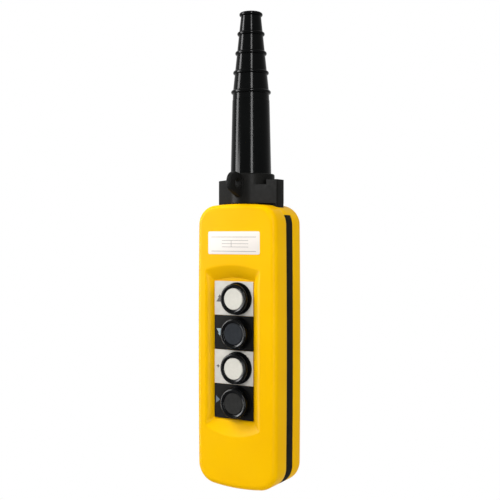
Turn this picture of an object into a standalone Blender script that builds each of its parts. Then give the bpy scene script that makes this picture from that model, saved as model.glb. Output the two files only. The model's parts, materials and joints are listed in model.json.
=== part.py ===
"""Hanging push button station for a hoist: two-shell housing, seal, collar, cable boot and four buttons.

Metres, +Z up. The front faces -Y and X runs to the right. The origin is the centre of the cable exit at
the top of the boot, and the station hangs below it. Each sub-part is one object with its own material.
"""

import math

import bpy
import bmesh
from mathutils import Euler, Matrix, Vector

MM = 0.001

# Fit between pieces that touch
GAP = 0.3 * MM
SET_IN = 0.1 * MM

# Housing, seen from the front
BODY_W = 78.6 * MM
BODY_H = 246.3 * MM
TOP_ARCH = 1.0 * MM
BOTTOM_ARCH = 1.6 * MM
SIDE_BOW = 0.9 * MM
TOP_CORNER_R = 17.0 * MM
BOTTOM_CORNER_R = 17.8 * MM
FRONT_EDGE_R = 4.8 * MM
REAR_EDGE_R = 7.6 * MM
WALL = 2.8 * MM

# Housing, seen from the side: depths on each side of the boot's axis
FRONT_DEPTH = 26.8 * MM
REAR_DEPTH = 23.4 * MM
SEAM_FRONT = -7.4 * MM
SEAM_REAR = 4.2 * MM
SEAL_W = 5.0 * MM
SEAL_ROUND = 0.8 * MM
SEAL_END = 30.0
PILLAR_MEET_Y = -1.6 * MM

# Button column
BUTTONS = 4
PITCH = 30.0 * MM
PLATES_BELOW_TOP = 67.0 * MM
PLATE_W = 39.2 * MM
PLATE_T = 1.2 * MM
PLATE_CORNER_R = 0.6 * MM
PLATE_SHIFT = -4.3 * MM
PLATE_DEPTH = 4.4 * MM

# Recess round the plates
RIM_W = 55.8 * MM
RIM_SHIFT = -3.3 * MM
RIM_TOP_RUN = 10.4 * MM
RIM_BOTTOM_RUN = 8.5 * MM
RIM_TOP_ARCH = 3.6 * MM
RIM_BOTTOM_ARCH = 6.0 * MM
RIM_CORNER_R = 3.5 * MM
LEDGE = 0.6 * MM
LEDGE_ARCH = 2.6 * MM
FLOOR_CORNER_R = 1.2 * MM
SIDE_CURVE = 1.35
END_CURVE = 1.75
RIM_PROUD = 0.02 * MM

# Push button
PANEL_HOLE_R = 11.2 * MM
CAP_R = 9.35 * MM
CAP_SKIRT = 7.0 * MM
CAP_WALL = 1.5 * MM
CAP_EDGE_R = 0.6 * MM
CAP_STAND = 7.8 * MM
RING_STAND = 8.7 * MM
RING_R = 13.0 * MM
BASE_LIP = 1.1 * MM
BASE_T = 1.8 * MM
BASE_EDGE = 0.3 * MM
TRAVEL = 4.3 * MM
BARREL_END = 12.0 * MM
WEB_T = 1.5 * MM
BARREL_WALL = 2.3 * MM
STEM_R = 3.5 * MM
STEM_REACH = 4.0 * MM
PLUNGER_HEAD_T = 1.2 * MM
SPRING_WIRE = 0.9 * MM
SPRING_TURNS = 3
STEM_SPARE = 2.0 * MM
NUT_T = 4.5 * MM
NUT_RIM = 2.2 * MM
NUT_NOTCHES = 6
NUT_LAND = 0.62
NUT_NOTCH_DEPTH = 1.2 * MM

# Contact block behind each button
BLOCK_W = 30.0 * MM
BLOCK_WAIST = 20.0 * MM
BLOCK_SPACE = 4.0 * MM
BLOCK_D = 24.0 * MM
BLOCK_STEP = 9.0 * MM
TERMINAL_HOLE_R = 2.6 * MM
TERMINAL_DEPTH = 8.0 * MM
TERMINAL_SCREW_R = 2.0 * MM
TERMINAL_HEAD_T = 2.0 * MM
TERMINAL_SHANK_R = 1.2 * MM

# Collar at the top of the housing
COLLAR_RISE = 26.9 * MM
COLLAR_RING_WALL = 2.65 * MM
COLLAR_STEP = 0.35 * MM
COLLAR_RING_H = 10.0 * MM
COLLAR_EDGE_R = 1.4 * MM
WING_INSET = 9.0 * MM
WING_FRONT = -7.1 * MM
WING_REAR = 6.7 * MM
WING_DROP = 5.4 * MM
WING_CORNER_R = 2.2 * MM
EAR_START_X = {-1.0: 15.0 * MM, 1.0: 22.1 * MM}
EAR_ROOT_IN = 2.0 * MM
EAR_ROOT_Y = 4.0 * MM
BLOCK_ROOT_Y = 12.0 * MM
NECK_R = 13.0 * MM
FLANGE_INSET = 6.0 * MM
FLANGE_FRONT = -17.0 * MM
FLANGE_REAR = 15.0 * MM
FLANGE_T = 4.0 * MM
FLANGE_LIP = 0.1 * MM
CABLE_BORE_R = 8.5 * MM
BOOT_SEAT_DEPTH = 18.0 * MM

# Suspension lug on the collar
LUG_T = 5.0 * MM
LUG_OVERHANG = 7.5 * MM
LUG_HEAD_R = 9.3 * MM
LUG_RISE = 0.8 * MM
LUG_EYE_R = 3.7 * MM
LUG_EYE_BACK = 2.5 * MM
LUG_EYE_DROP = 9.0 * MM
LUG_TAIL = 22.2 * MM
LUG_WRAP = 220.0

# Cable boot
BOOT_EXPOSED = 143.3 * MM
BOOT_TOP_R = 8.6 * MM
BOOT_KNEE_R = 16.1 * MM
BOOT_FOOT_R = 18.05 * MM
BOOT_WALL = 2.4 * MM
BOOT_HOLE_R = 7.0 * MM
RIB_PITCH = 17.25 * MM
RIBS = 5
RIB_T = 3.4 * MM
RIB_STAND = 1.6 * MM
RIB_EDGE = 1.0 * MM
BOOT_STEP_BELOW_RIB = 7.0 * MM
BOOT_STEP = 0.25 * MM
BEAD_STAND = 0.4 * MM
BEAD_H = 2.2 * MM

# Housing screws and their pillars
SCREW_TOP_INSET = 10.1 * MM
SCREW_BOTTOM_INSET = 14.3 * MM
SCREW_TOP_DROP = 22.9 * MM
SCREW_BOTTOM_RISE = 16.1 * MM
PILLAR_R = 4.0 * MM
PILOT_R = 1.9 * MM
SCREW_GRIP = 9.0 * MM
PILOT_SPARE = 3.0 * MM
SHANK_R = 1.6 * MM
SHANK_HOLE_R = 2.1 * MM
HEAD_R = 3.3 * MM
HEAD_T = 2.6 * MM
HEAD_HOLE_R = 3.8 * MM
HEAD_HOLE_DEPTH = 8.0 * MM
DRIVE_R = 1.3 * MM
DRIVE_DEPTH = 1.3 * MM

# Cable clamp inside the housing
CLAMP_DROP = 40.9 * MM
CLAMP_HEAD_SPACE = 1.3 * MM
CLAMP_H = 9.0 * MM
CLAMP_T = 3.0 * MM
CLAMP_SADDLE_R = 7.2 * MM
CLAMP_Y = 8.0 * MM
CLAMP_BOSS_R = 4.2 * MM

# Mesh fineness
CORNER_STEPS = 5
SIDE_STEPS = 3
EDGE_STEPS = 3
ROUND_STEPS = 24
SMALL_STEPS = 10
TINY_STEPS = 8
EYE_STEPS = 16
SCOOP_STEPS = 5
ARCH_STEPS = 4
RIM_STEPS = 2
LEAN_ROUNDS = 12
COIL_STEPS = 8
WIRE_SIDES = 5
SMOOTH_ANGLE = math.radians(32.0)

# Levels that follow from the sizes above
COLLAR_TOP = -BOOT_EXPOSED
BODY_TOP = COLLAR_TOP - COLLAR_RISE
BODY_BOTTOM = BODY_TOP - BODY_H
FACE_Y = -FRONT_DEPTH
PLATE_Y = FACE_Y + PLATE_DEPTH
FLOOR_Y = PLATE_Y + PLATE_T + GAP
PLATES_TOP = BODY_TOP - PLATES_BELOW_TOP
PLATES_BOTTOM = PLATES_TOP - BUTTONS * PITCH
WING_TOP = COLLAR_TOP - WING_DROP
RING_BOTTOM = COLLAR_TOP - COLLAR_RING_H
BOOT_SEAT = COLLAR_TOP - BOOT_SEAT_DEPTH
COLLAR_RING_R = BOOT_FOOT_R + GAP + COLLAR_RING_WALL
WING_W = BODY_W - 2.0 * WING_INSET
FLANGE_W = WING_W - 2.0 * FLANGE_INSET
FLANGE_TOP = BODY_TOP - TOP_ARCH - WALL - GAP
LUG_REACH = COLLAR_RING_R + LUG_OVERHANG
SCREW_TOP_X = BODY_W / 2.0 - SCREW_TOP_INSET
SCREW_BOTTOM_X = BODY_W / 2.0 - SCREW_BOTTOM_INSET
FLANGE_BOTTOM = FLANGE_TOP - FLANGE_T
CLAMP_Z = BODY_TOP - CLAMP_DROP
CLAMP_SHOULDER = math.sqrt((CLAMP_SADDLE_R + CLAMP_T) ** 2 - CLAMP_T ** 2)
CLAMP_SCREW_X = CLAMP_SHOULDER + CLAMP_HEAD_SPACE + HEAD_R
CLAMP_HALF_W = CLAMP_SCREW_X + HEAD_R + CLAMP_HEAD_SPACE
PILOT_DEPTH = SCREW_GRIP + PILOT_SPARE
BLOCK_H = PITCH - BLOCK_SPACE
BLOCK_FRONT = -(BARREL_END + GAP)
BLOCK_BACK = BLOCK_FRONT - BLOCK_D
TERMINAL_X = (BLOCK_W + BLOCK_WAIST) / 4.0
NUT_FRONT = -(PLATE_T + 2.0 * GAP + WALL)
WEB_FRONT = CAP_STAND - CAP_SKIRT - TRAVEL - GAP
HEAD_FRONT = CAP_STAND - CAP_WALL - GAP
HEAD_BACK = HEAD_FRONT - PLUNGER_HEAD_T
PLUNGER_TIP = BLOCK_FRONT - STEM_REACH

YELLOW = (254, 196, 12)
BLACK = (24, 24, 23)
DARK_GREY = (38, 38, 38)
RUBBER = (20, 20, 20)
WHITE = (232, 230, 226)
SLATE = (50, 53, 56)
STEEL = (176, 178, 180)
MOULDED_GREY = (120, 122, 124)
NATURAL = (214, 208, 192)


def linear(rgb):
    """Scene-linear RGBA of an 8-bit display colour."""
    channels = []
    for value in rgb:
        level = value / 255.0
        if level <= 0.04045:
            channels.append(level / 12.92)
        else:
            channels.append(((level + 0.055) / 1.055) ** 2.4)
    return (channels[0], channels[1], channels[2], 1.0)


def material(name, rgb, roughness, metallic=0.0):
    """A Principled material, made once for each name."""
    found = bpy.data.materials.get(name)
    if found:
        return found
    made = bpy.data.materials.new(name)
    made.use_nodes = True
    shader = made.node_tree.nodes["Principled BSDF"]
    shader.inputs["Base Color"].default_value = linear(rgb)
    shader.inputs["Roughness"].default_value = roughness
    shader.inputs["Metallic"].default_value = metallic
    return made


def clear_scene():
    for old in list(bpy.data.objects):
        bpy.data.objects.remove(old, do_unlink=True)


def mesh_object(name, mesh_data, finish=None, at=(0.0, 0.0, 0.0), turn=(0.0, 0.0, 0.0)):
    """Put a mesh into the scene; without a finish it is a cutter and stays out of the model."""
    obj = bpy.data.objects.new(name, mesh_data)
    obj.location = at
    obj.rotation_euler = turn
    bpy.context.collection.objects.link(obj)
    if finish is None:
        obj.hide_render = True
        obj.display_type = "WIRE"
    elif not mesh_data.materials:
        mesh_data.materials.append(finish)
    return obj


def finish_mesh(name, bm):
    """Close the bmesh into a mesh with its faces out, round surfaces smooth and corners sharp."""
    bmesh.ops.recalc_face_normals(bm, faces=bm.faces)
    data = bpy.data.meshes.new(name)
    bm.to_mesh(data)
    bm.free()
    data.shade_smooth()
    data.set_sharp_from_angle(angle=SMOOTH_ANGLE)
    return data


def loft(name, rings, ring_closed=False):
    """Skin a list of equal rings; the ends are capped, or joined to each other if ring_closed."""
    bm = bmesh.new()
    loops = []
    for ring in rings:
        loops.append([bm.verts.new(point) for point in ring])
    count = len(loops[0])
    pairs = list(zip(loops, loops[1:]))
    if ring_closed:
        pairs.append((loops[-1], loops[0]))
    for lower, upper in pairs:
        for i in range(count):
            j = (i + 1) % count
            bm.faces.new((lower[i], lower[j], upper[j], upper[i]))
    if not ring_closed:
        bm.faces.new(loops[0])
        bm.faces.new(list(reversed(loops[-1])))
    return finish_mesh(name, bm)


def turned(name, profile, steps=ROUND_STEPS):
    """Turn a closed (radius, height) profile round local Z; a point at radius 0 is a single vertex."""
    bm = bmesh.new()
    columns = []
    for radius, height in profile:
        if radius <= 0.0:
            columns.append([bm.verts.new((0.0, 0.0, height))])
            continue
        ring = []
        for i in range(steps):
            angle = 2.0 * math.pi * i / steps
            ring.append(bm.verts.new((radius * math.cos(angle), radius * math.sin(angle), height)))
        columns.append(ring)
    for k, lower in enumerate(columns):
        upper = columns[(k + 1) % len(columns)]
        if len(lower) == 1 and len(upper) == 1:
            continue
        for i in range(steps):
            j = (i + 1) % steps
            near = [lower[i % len(lower)], lower[j % len(lower)]]
            far = [upper[j % len(upper)], upper[i % len(upper)]]
            bm.faces.new(list(dict.fromkeys(near + far)))
    return finish_mesh(name, bm)


def prism(name, outline, low, high):
    """Extrude an (x, y) outline from low to high along local Z."""
    rings = []
    for height in (low, high):
        rings.append([(x, y, height) for x, y in outline])
    return loft(name, rings)


def arc(cx, cy, radius, start, end, steps):
    """Points on an arc, angles in degrees."""
    points = []
    for i in range(steps + 1):
        angle = math.radians(start + (end - start) * i / steps)
        points.append((cx + radius * math.cos(angle), cy + radius * math.sin(angle)))
    return points


def rounded_rect(x0, x1, y0, y1, radius, steps=3):
    points = []
    points += arc(x1 - radius, y0 + radius, radius, -90.0, 0.0, steps)
    points += arc(x1 - radius, y1 - radius, radius, 0.0, 90.0, steps)
    points += arc(x0 + radius, y1 - radius, radius, 90.0, 180.0, steps)
    points += arc(x0 + radius, y0 + radius, radius, 180.0, 270.0, steps)
    return points


def circle(radius, steps=ROUND_STEPS, cx=0.0, cy=0.0):
    return arc(cx, cy, radius, 0.0, 360.0 * (steps - 1) / steps, steps - 1)


def boolean(target, tool, operation):
    """Add an exact Boolean with another object of this scene."""
    step = target.modifiers.new(operation.title(), "BOOLEAN")
    step.operation = operation
    step.object = tool
    step.solver = "EXACT"


def cut(target, name, mesh_data, at=(0.0, 0.0, 0.0), turn=(0.0, 0.0, 0.0)):
    tool = mesh_object(name, mesh_data, at=at, turn=turn)
    boolean(target, tool, "DIFFERENCE")
    return tool


def join(target, name, mesh_data, at=(0.0, 0.0, 0.0), turn=(0.0, 0.0, 0.0)):
    tool = mesh_object(name, mesh_data, at=at, turn=turn)
    boolean(target, tool, "UNION")
    return tool


def copies(name, *groups):
    """One mesh for a single Boolean: each group is a mesh, the places of its copies and their turn."""
    bm = bmesh.new()
    for mesh_data, places, turn in groups:
        spin = Euler(turn).to_matrix().to_4x4()
        for place in places:
            before = len(bm.verts)
            bm.from_mesh(mesh_data)
            bm.verts.ensure_lookup_table()
            fresh = bm.verts[before:]
            bmesh.ops.transform(bm, matrix=Matrix.Translation(place) @ spin, verts=fresh)
    return finish_mesh(name, bm)


# Local Z of a piece that points out of the front or out of the back
TO_FRONT = (math.pi / 2.0, 0.0, 0.0)
TO_REAR = (-math.pi / 2.0, 0.0, 0.0)

SIDES = ((-1.0, "left"), (1.0, "right"))


def end_lean(half, radius, arch):
    """Angle at which a bowed end leaves its round corner, and half the length of the bow."""
    lean = 0.0
    for _ in range(LEAN_ROUNDS):
        reach = half - radius + radius * math.sin(lean)
        lean = math.atan2(2.0 * arch, reach)
    return lean, reach


def column_outline(half, top, bottom, top_r, bottom_r, top_arch, bottom_arch, steps, side_steps):
    """Upright (x, z) outline whose round corners run on smoothly into bowed ends."""
    top_lean, top_reach = end_lean(half, top_r, top_arch)
    bottom_lean, bottom_reach = end_lean(half, bottom_r, bottom_arch)
    high = top - top_r * math.cos(top_lean)
    low = bottom + bottom_r * math.cos(bottom_lean)
    right = arc(half - bottom_r, low, bottom_r, math.degrees(bottom_lean) - 90.0, 0.0, steps)
    for i in range(1, side_steps):
        right.append((half, low + (high - low) * i / side_steps))
    right += arc(half - top_r, high, top_r, 0.0, 90.0 - math.degrees(top_lean), steps)
    points = list(right)
    for i in range(1, ARCH_STEPS):
        share = 1.0 - 2.0 * i / ARCH_STEPS
        points.append((top_reach * share, top + top_arch * (1.0 - share * share)))
    points += [(-x, z) for x, z in reversed(right)]
    for i in range(1, ARCH_STEPS):
        share = 2.0 * i / ARCH_STEPS - 1.0
        points.append((bottom_reach * share, bottom - bottom_arch * (1.0 - share * share)))
    return points


def body_outline(inset=0.0):
    """The housing's front outline as (x, z), drawn in by inset all round."""
    half = BODY_W / 2.0 - inset
    top = BODY_TOP - TOP_ARCH - inset
    bottom = BODY_BOTTOM + BOTTOM_ARCH + inset
    radii = (TOP_CORNER_R - inset, BOTTOM_CORNER_R - inset)
    points = column_outline(half, top, bottom, *radii, TOP_ARCH, BOTTOM_ARCH, CORNER_STEPS, SIDE_STEPS)
    middle = (BODY_TOP + BODY_BOTTOM) / 2.0
    bowed = []
    for x, z in points:
        share = (z - middle) / (BODY_H / 2.0)
        swell = SIDE_BOW * (1.0 - share * share) * (x / (BODY_W / 2.0))
        bowed.append((x + swell, z))
    return bowed


def ring_at(outline, y):
    return [(x, y, z) for x, z in outline]


def shell_rings(seam, face, edge_r, inset=0.0):
    """Rings of a housing half from its seam to its rounded outer face."""
    outward = math.copysign(1.0, face - seam)
    rings = [ring_at(body_outline(inset), seam)]
    for i in range(EDGE_STEPS + 1):
        angle = 0.5 * math.pi * i / EDGE_STEPS
        shrink = edge_r * (1.0 - math.cos(angle))
        y = face - outward * edge_r * (1.0 - math.sin(angle))
        rings.append(ring_at(body_outline(inset + shrink), y))
    return rings


def cavity(name, seam, face, edge_r):
    """The hollow of a housing half, run out past its seam."""
    outward = math.copysign(1.0, face - seam)
    return loft(name, shell_rings(seam - outward * WALL, face - outward * WALL, edge_r - WALL / 2.0, WALL))


def recess_floor(grow=0.0):
    half = PLATE_W / 2.0 + GAP + grow
    top = PLATES_TOP + LEDGE + grow
    bottom = PLATES_BOTTOM - GAP - grow
    radius = FLOOR_CORNER_R + grow
    points = column_outline(half, top, bottom, radius, radius, LEDGE_ARCH, 0.0, RIM_STEPS, 1)
    return [(x + PLATE_SHIFT, z) for x, z in points]


def recess_rim(grow=0.0):
    half = RIM_W / 2.0 + grow
    top = PLATES_TOP + RIM_TOP_RUN + grow
    bottom = PLATES_BOTTOM - RIM_BOTTOM_RUN - grow
    radius = RIM_CORNER_R + grow
    points = column_outline(half, top, bottom, radius, radius, RIM_TOP_ARCH, RIM_BOTTOM_ARCH, RIM_STEPS, 1)
    return [(x + RIM_SHIFT, z) for x, z in points]


def scoop_curve(z):
    """Exponent of the scoop: rounder beside the plates, flatter above and below them."""
    past = max(0.0, z - PLATES_TOP, PLATES_BOTTOM - z) / RIM_BOTTOM_RUN
    return SIDE_CURVE + (END_CURVE - SIDE_CURVE) * min(1.0, past)


def recess_cutter():
    """The scooped recess: steep at the floor, easing out to meet the face at the rim."""
    floor = recess_floor()
    rim = recess_rim()
    rings = []
    for i in range(SCOOP_STEPS + 1):
        angle = 0.5 * math.pi * i / SCOOP_STEPS
        ring = []
        for (fx, fz), (rx, rz) in zip(floor, rim):
            curve = scoop_curve(rz)
            across = 1.0 - math.cos(angle) ** curve
            y = FLOOR_Y + (FACE_Y - RIM_PROUD - FLOOR_Y) * math.sin(angle) ** curve
            ring.append((fx + (rx - fx) * across, y, fz + (rz - fz) * across))
        rings.append(ring)
    rings.append(ring_at(rim, FACE_Y - WALL))
    return loft("recess_cutter", rings)


def recess_tub():
    """The wall that carries the recess on the inside of the front shell."""
    buried = FACE_Y + WALL / 2.0
    rings = [ring_at(recess_rim(WALL / 2.0), buried), ring_at(recess_floor(WALL), FLOOR_Y + WALL)]
    return loft("recess_tub", rings)


def button_heights():
    return [PLATES_TOP - PITCH * (i + 0.5) for i in range(BUTTONS)]


def screw_places():
    """Housing screws as (x, z), in pairs down the sides."""
    middle = (BODY_TOP + BODY_BOTTOM) / 2.0
    rows = [
        (SCREW_TOP_X, BODY_TOP - SCREW_TOP_DROP),
        (SCREW_TOP_X, middle),
        (SCREW_BOTTOM_X, BODY_BOTTOM + SCREW_BOTTOM_RISE),
    ]
    return [(side * x, z) for x, z in rows for side in (-1.0, 1.0)]


def neck_outline(grow):
    return circle(NECK_R + grow)


def wing_outline(grow=0.0):
    half = WING_W / 2.0 + grow
    return rounded_rect(-half, half, WING_FRONT - grow, WING_REAR + grow, WING_CORNER_R + grow)


def top_corner():
    """Centre of the housing's right top corner as (x, z)."""
    half = BODY_W / 2.0
    lean, _ = end_lean(half, TOP_CORNER_R, TOP_ARCH)
    return half - TOP_CORNER_R, BODY_TOP - TOP_ARCH - TOP_CORNER_R * math.cos(lean)


def seal_gate():
    """Everything above the seal's two ends, which stand square to the housing's top corners."""
    x, z = top_corner()
    angle = math.radians(SEAL_END)
    far = x + BODY_W * math.cos(angle)
    high = z + BODY_W * math.sin(angle)
    outline = [(x, z), (far, high), (-far, high), (-x, z)]
    return loft("seal_gate", [ring_at(outline, FACE_Y), ring_at(outline, REAR_DEPTH)])


def rear_shoulder(side):
    """Piece of top wall that brings the rear shell forward between the seal's end and the collar."""
    x, z = top_corner()
    reach = WING_W / 2.0 + GAP - x
    outline = []
    for radius in (TOP_CORNER_R - GAP, TOP_CORNER_R - WALL + GAP):
        start = SEAL_END + math.degrees(math.asin(GAP / radius))
        end = math.degrees(math.acos(reach / radius))
        run = arc(x, z, radius, start, end, CORNER_STEPS)
        outline += run if not outline else list(reversed(run))
    mirrored = [(side * px, pz) for px, pz in outline]
    rings = [ring_at(mirrored, SEAM_FRONT + GAP), ring_at(mirrored, SEAM_REAR + WALL / 2.0)]
    return loft("rear_shoulder", rings)


def cut_collar_way(shell):
    """Open the top wall of a shell for the collar's neck and wings."""
    low = FLANGE_BOTTOM
    high = BODY_TOP + WALL
    cut(shell, shell.name + "_neck_cutter", prism("neck_cutter", neck_outline(GAP), low, high))
    cut(shell, shell.name + "_wing_cutter", prism("wing_cutter", wing_outline(GAP), low, high))


def front_shell(finish):
    outside = loft("front_shell", shell_rings(SEAM_FRONT, FACE_Y, FRONT_EDGE_R))
    shell = mesh_object("front_shell", outside, finish)
    cut(shell, "front_cavity", cavity("front_cavity", SEAM_FRONT, FACE_Y, FRONT_EDGE_R))
    join(shell, "front_tub", recess_tub())
    height = PILLAR_MEET_Y - GAP / 2.0 - FACE_Y - WALL / 2.0
    pillar = prism("front_pillar", circle(PILLAR_R, SMALL_STEPS), 0.0, height)
    pilot = prism("front_pilot", circle(PILOT_R, TINY_STEPS), -PILOT_DEPTH, PILLAR_R)
    roots = [(x, FACE_Y + WALL / 2.0, z) for x, z in screw_places()]
    tips = [(x, PILLAR_MEET_Y - GAP / 2.0, z) for x, z in screw_places()]
    join(shell, "front_pillars", copies("front_pillars", (pillar, roots, TO_REAR)))
    cut(shell, "front_recess", recess_cutter())
    cut_collar_way(shell)
    hole = prism("panel_hole", circle(PANEL_HOLE_R), -WALL, WALL)
    centres = [(0.0, FLOOR_Y + WALL / 2.0, z) for z in button_heights()]
    cut(shell, "front_holes", copies("front_holes", (hole, centres, TO_FRONT), (pilot, tips, TO_REAR)))
    return shell


def rear_shell(finish):
    outside = loft("rear_shell", shell_rings(SEAM_REAR, REAR_DEPTH, REAR_EDGE_R))
    shell = mesh_object("rear_shell", outside, finish)
    cut(shell, "rear_cavity", cavity("rear_cavity", SEAM_REAR, REAR_DEPTH, REAR_EDGE_R))
    start = REAR_DEPTH - WALL / 2.0
    meet = start - PILLAR_MEET_Y - GAP / 2.0
    sleeve_r = HEAD_HOLE_R + WALL / 2.0
    sleeve_h = HEAD_HOLE_DEPTH + WALL / 2.0
    pillar = turned("rear_pillar", [
        (0.0, 0.0),
        (sleeve_r, 0.0),
        (sleeve_r, sleeve_h),
        (PILLAR_R, sleeve_h),
        (PILLAR_R, meet),
        (0.0, meet),
    ], SMALL_STEPS)
    screw_way = turned("rear_screw_way", [
        (0.0, WALL),
        (0.0, -REAR_DEPTH * 2.0),
        (SHANK_HOLE_R, -REAR_DEPTH * 2.0),
        (SHANK_HOLE_R, -HEAD_HOLE_DEPTH),
        (HEAD_HOLE_R, -HEAD_HOLE_DEPTH),
        (HEAD_HOLE_R, WALL),
    ], SMALL_STEPS)
    roots = [(x, start, z) for x, z in screw_places()]
    mouths = [(x, REAR_DEPTH, z) for x, z in screw_places()]
    boss_h = start - CLAMP_Y - GAP
    boss = prism("clamp_boss", circle(CLAMP_BOSS_R, SMALL_STEPS), 0.0, boss_h)
    boss_hole = prism("clamp_boss_hole", circle(PILOT_R, TINY_STEPS), boss_h - PILOT_DEPTH, boss_h + WALL)
    bosses = [(x, start, CLAMP_Z) for x in (-CLAMP_SCREW_X, CLAMP_SCREW_X)]
    posts = copies("rear_posts", (pillar, roots, TO_FRONT), (boss, bosses, TO_FRONT))
    join(shell, "rear_posts", posts)
    cut_collar_way(shell)
    for side, label in SIDES:
        join(shell, "rear_shoulder_" + label, rear_shoulder(side))
    holes = copies("rear_holes", (screw_way, mouths, TO_REAR), (boss_hole, bosses, TO_FRONT))
    cut(shell, "rear_holes", holes)
    return shell


def shell_seal(finish):
    """Rubber band between the shells, from one top corner round the bottom to the other."""
    front = SEAM_FRONT + GAP
    rear = SEAM_REAR - GAP
    rings = [
        ring_at(body_outline(SEAL_ROUND), front),
        ring_at(body_outline(0.0), front + SEAL_ROUND),
        ring_at(body_outline(0.0), rear - SEAL_ROUND),
        ring_at(body_outline(SEAL_ROUND), rear),
        ring_at(body_outline(SEAL_W), rear),
        ring_at(body_outline(SEAL_W), front),
    ]
    seal = mesh_object("shell_seal", loft("shell_seal", rings, ring_closed=True), finish)
    cut(seal, "seal_gate", seal_gate())
    return seal


def lug_outline():
    """The lug as (y, z): a round head ahead of the collar with a tail down to it."""
    root = -(COLLAR_RING_R - WALL / 2.0)
    points = [(root, COLLAR_TOP - LUG_RISE)]
    points += arc(-LUG_REACH, COLLAR_TOP + LUG_RISE - LUG_HEAD_R, LUG_HEAD_R, 90.0, LUG_WRAP, SMALL_STEPS)
    points.append((root, COLLAR_TOP - LUG_TAIL))
    return points


def block_end(side, front, inset=0.0):
    """One end of the collar's block as (x, y), from the barrel along a taut line round its corner."""
    edge_y = WING_FRONT if front else WING_REAR
    radius = COLLAR_RING_R + COLLAR_STEP - inset
    cx = WING_W / 2.0 - WING_CORNER_R - inset
    cy = abs(edge_y) - WING_CORNER_R - inset
    span = math.hypot(cx, cy)
    lean = math.degrees(math.acos((radius - WING_CORNER_R) / span) + math.atan2(cy, cx))
    angle = math.radians(lean)
    barrel = radius - GAP
    points = [(barrel * math.cos(angle), barrel * math.sin(angle))]
    points += arc(cx, cy, WING_CORNER_R, lean, 0.0, EDGE_STEPS)
    turn = -1.0 if front else 1.0
    return [(side * x, turn * y) for x, y in points]


def block_outline():
    """Plan of the collar's block: the barrel and both wings under one taut line."""
    points = []
    for side, _ in SIDES:
        first = side > 0.0
        run = [(0.0, -BLOCK_ROOT_Y if first else BLOCK_ROOT_Y)]
        run += block_end(side, first)
        run += list(reversed(block_end(side, not first)))
        points += run
    return points


def ear_outline(side):
    """Plan of an ear, the end of the block that stands up beside the ring."""
    start_x = EAR_START_X[side]
    root_x = side * (start_x - EAR_ROOT_IN)
    points = []
    for front in (True, False):
        run = block_end(side, front, SET_IN)
        (x0, y0), (x1, y1) = run[0], run[1]
        share = (side * start_x - x0) / (x1 - x0)
        root_y = -EAR_ROOT_Y if front else EAR_ROOT_Y
        run = [(root_x, root_y), (side * start_x, y0 + (y1 - y0) * share)] + run[1:]
        points += run if front else list(reversed(run))
    return points


def boot_seat():
    """The bore that takes the boot's foot, from its mouth down, with a groove for the foot's bead."""
    seat_r = BOOT_FOOT_R + GAP
    groove_top = BOOT_SEAT + BEAD_H + 2.0 * GAP
    return [
        (seat_r, COLLAR_TOP),
        (seat_r, groove_top + BEAD_STAND),
        (seat_r + BEAD_STAND, groove_top),
        (seat_r + BEAD_STAND, BOOT_SEAT),
    ]


def collar_core():
    """Ring, lower barrel and neck as one solid turned piece."""
    lower_r = COLLAR_RING_R + COLLAR_STEP
    radius = COLLAR_EDGE_R
    edge = arc(COLLAR_RING_R - radius, COLLAR_TOP - radius, radius, 0.0, 90.0, RIM_STEPS)
    profile = [
        (0.0, FLANGE_BOTTOM),
        (NECK_R, FLANGE_BOTTOM),
        (NECK_R, BODY_TOP + GAP),
        (lower_r, BODY_TOP + GAP),
        (lower_r, RING_BOTTOM),
        (COLLAR_RING_R, RING_BOTTOM + COLLAR_STEP),
    ]
    profile += edge
    profile.append((0.0, COLLAR_TOP))
    return turned("cable_collar", profile)


def cable_collar(finish):
    collar = mesh_object("cable_collar", collar_core(), finish)
    block_low = BODY_TOP + 2.0 * GAP
    wings = prism("collar_wings", wing_outline(-SET_IN), FLANGE_BOTTOM, block_low + GAP)
    join(collar, "collar_block", prism("collar_block", block_outline(), block_low, RING_BOTTOM))
    join(collar, "collar_wings", wings)
    half = FLANGE_W / 2.0
    plate = rounded_rect(-half, half, FLANGE_FRONT, FLANGE_REAR, WING_CORNER_R)
    join(collar, "collar_flange", prism("collar_flange", plate, FLANGE_BOTTOM - FLANGE_LIP, FLANGE_TOP))
    for side, label in SIDES:
        ear = prism("collar_ear", ear_outline(side), RING_BOTTOM - COLLAR_STEP, WING_TOP)
        join(collar, "collar_ear_" + label, ear)
    rings = []
    for x in (-LUG_T / 2.0, LUG_T / 2.0):
        rings.append([(x, y, z) for y, z in lug_outline()])
    join(collar, "collar_lug", loft("collar_lug", rings))
    eye = prism("lug_eye", circle(LUG_EYE_R, EYE_STEPS), -LUG_T, LUG_T)
    eye_at = (0.0, LUG_EYE_BACK - LUG_REACH, COLLAR_TOP - LUG_EYE_DROP)
    cut(collar, "lug_eye", eye, eye_at, (0.0, math.pi / 2.0, 0.0))
    mouth = (BOOT_FOOT_R + GAP, COLLAR_TOP + WALL)
    seat = [(0.0, COLLAR_TOP + WALL), mouth] + boot_seat()[1:] + [(0.0, BOOT_SEAT)]
    cut(collar, "collar_seat", turned("collar_seat", seat))
    bore = prism("collar_bore", circle(CABLE_BORE_R), FLANGE_BOTTOM - WALL, BOOT_SEAT + WALL)
    cut(collar, "collar_bore", bore)
    return collar


def boot_radius(z):
    """Outer radius of the boot between its ribs: a cone down to the last rib, then a slower one."""
    knee = rib_height(RIBS - 1)
    if z >= knee:
        return BOOT_TOP_R + (BOOT_KNEE_R - BOOT_TOP_R) * z / knee
    share = (z - knee) / (COLLAR_TOP - knee)
    return BOOT_KNEE_R + (BOOT_FOOT_R - BOOT_KNEE_R) * min(share, 1.0)


def rib_height(i):
    return -RIB_T / 2.0 - i * RIB_PITCH


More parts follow.
